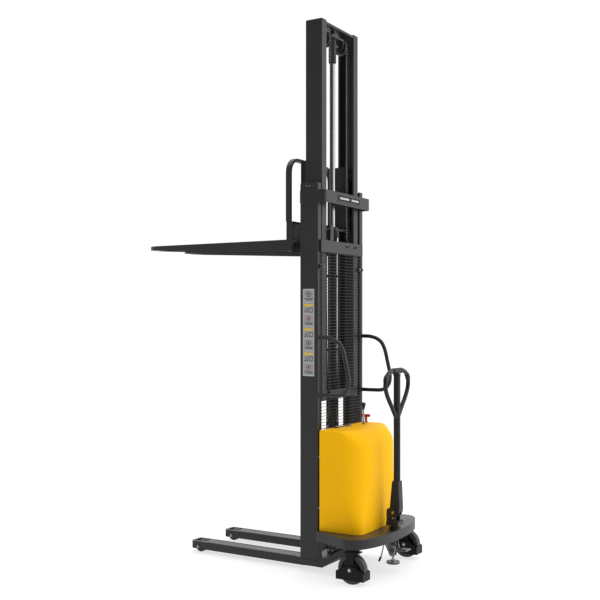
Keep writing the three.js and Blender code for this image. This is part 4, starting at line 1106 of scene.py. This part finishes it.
def patch(y0, y1, z0, z1, r, mat, lift=0.0):
    b.add(prism("x", rounded(y0, y1, z0, z1, r, 4), -300.75 - lift, -300.15 - lift, 0.05, 1), mat)


def roundel(y, z, r, mat, lift):
    b.add(bar("x", y, z, r, -300.75 - lift, -300.2 - lift, 32, 0.05), mat)


# a run of blank stickers: a pale sheet, ruled boxes, plain roundels and yellow bars, with no lettering
patch(26, 108, 1225, 1769, 4, 0)
for i in range(7):
    z1, z0 = 1760 - 76 * i, 1760 - 76 * i - 70
    patch(31, 103, z0, z1, 3, 4, 0.12)
    if i in (0, 2, 4, 6):
        roundel(67, z0 + 46, 17, 3 if i in (2, 6) else 2, 0.24)
        roundel(67, z0 + 46, 12.5, 4, 0.30)
        patch(62, 72, z0 + 40, z0 + 52, 1.5, 2, 0.36)
        patch(38, 96, z0 + 16, z0 + 20.5, 1, 2, 0.24)
        patch(38, 84, z0 + 8, z0 + 12.5, 1, 2, 0.24)
    else:
        patch(35, 99, z0 + 46, z0 + 62, 1.5, 1, 0.24)
        patch(35, 62, z0 + 8, z0 + 38, 1.5, 2, 0.24)
        patch(38, 59, z0 + 12, z0 + 34, 1.5, 4, 0.30)
        for j in range(3):
            patch(68, 99 - 6 * j, z0 + 10 + 10 * j, z0 + 14 + 10 * j, 1, 2, 0.24)
piece("mast_label_strip", b, [LABEL_PALE, LABEL_YELLOW, LABEL_DARK, LABEL_RED, LABEL_WHITE], "chassis")

# hydraulic hose down the rear of the mast, in two clips
b = Build()
b.add(tube([(-150, -1.5, 2112), (-150, 0.2, 2060), (-150, 0.4, 1900), (-150, 0.4, 1500), (-150, 0.4, 1150), (-150, 0.4, 1010), (-150, -14, 960), (-150, -24, 900)], 5.0, 18, 12), 0)
for z in (1800, 1300):
    b.add(bar("z", -150, 0.4, 6.2, z - 6, z + 6, 24, 0.8), 0)
piece("mast_hose", b, [RUBBER, ZINC], "chassis")

# ---------------------------------------------------------------- floor, light, camera
floor_mat = bpy.data.materials.new("studio_floor")
floor_mat.use_nodes = True
fn = floor_mat.node_tree
fb = fn.nodes["Principled BSDF"]
fb.inputs["Roughness"].default_value = 0.8
tc = _node(fn, "ShaderNodeTexCoord", -900, 0)
nz = _node(fn, "ShaderNodeTexNoise", -700, 0, Scale=0.6, Detail=3.0)
rp = _node(fn, "ShaderNodeValToRGB", -450, 0)
rp.color_ramp.elements[0].color = (0.25, 0.25, 0.25, 1)
rp.color_ramp.elements[1].color = (0.27, 0.27, 0.27, 1)
fn.links.new(tc.outputs["Object"], nz.inputs["Vector"])
fn.links.new(nz.outputs["Fac"], rp.inputs["Fac"])
fn.links.new(rp.outputs["Color"], fb.inputs["Base Color"])
fb.inputs["Emission Color"].default_value = (1, 1, 1, 1)
fb.inputs["Emission Strength"].default_value = 0.70
bpy.ops.mesh.primitive_plane_add(size=160, location=(0, 0, -0.0005))
floor = bpy.context.active_object
floor.name = "studio_floor"
floor.data.materials.append(floor_mat)

world = bpy.data.worlds.new("studio")
scene.world = world
world.use_nodes = True
wn = world.node_tree
bg = wn.nodes["Background"]
bg.inputs["Color"].default_value = (1, 1, 1, 1)
way = _node(wn, "ShaderNodeTexCoord", -900, 0)
dot = _node(wn, "ShaderNodeVectorMath", -700, 0, operation="DOT_PRODUCT")
dot.inputs[1].default_value = (0.8554, 0.5180, 0.0)
level = _node(wn, "ShaderNodeMapRange", -450, 0, interpolation_type="SMOOTHSTEP")
level.inputs["From Min"].default_value, level.inputs["From Max"].default_value = -0.55, 0.30
level.inputs["To Min"].default_value, level.inputs["To Max"].default_value = 0.26, 1.02
wn.links.new(way.outputs["Generated"], dot.inputs[0])
wn.links.new(dot.outputs["Value"], level.inputs["Value"])
wn.links.new(level.outputs["Result"], bg.inputs["Strength"])


def area(name, at, to, size, watts, size_y=None):
    d = bpy.data.lights.new(name, "AREA")
    d.energy, d.size = watts, size
    if size_y:
        d.shape, d.size_y = "RECTANGLE", size_y
    o = bpy.data.objects.new(name, d)
    o.location = at
    o.rotation_mode = "QUATERNION"
    o.rotation_quaternion = (Vector(to) - Vector(at)).to_track_quat("-Z", "Y")
    scene.collection.objects.link(o)
    return o


area("softbox", (2.6, -6.9, 3.0), (0, -0.4, 1.2), 9.5, 245, 5.6)
area("fill", (-4.0, -7.0, 3.2), (0, -0.4, 1.2), 3.0, 4, 3.0)
sun_data = bpy.data.lights.new("overhead", "SUN")
sun_data.energy, sun_data.angle = 2.0, radians(84)
sun = bpy.data.objects.new("overhead", sun_data)
sun.rotation_euler = (radians(6), radians(4), 0)
scene.collection.objects.link(sun)

cam = bpy.data.cameras.new("camera")
cam.lens, cam.sensor_width, cam.shift_y = 56.76, 36.0, 0.0307
cam.clip_end = 300
camera = bpy.data.objects.new("camera", cam)
camera.location = (-5.3744, -3.3964, 1.5850)
camera.rotation_mode = "QUATERNION"
camera.rotation_quaternion = Vector((0.8554, 0.5180, 0.0)).to_track_quat("-Z", "Y")
scene.collection.objects.link(camera)
scene.camera = camera

scene.view_settings.view_transform = "Standard"
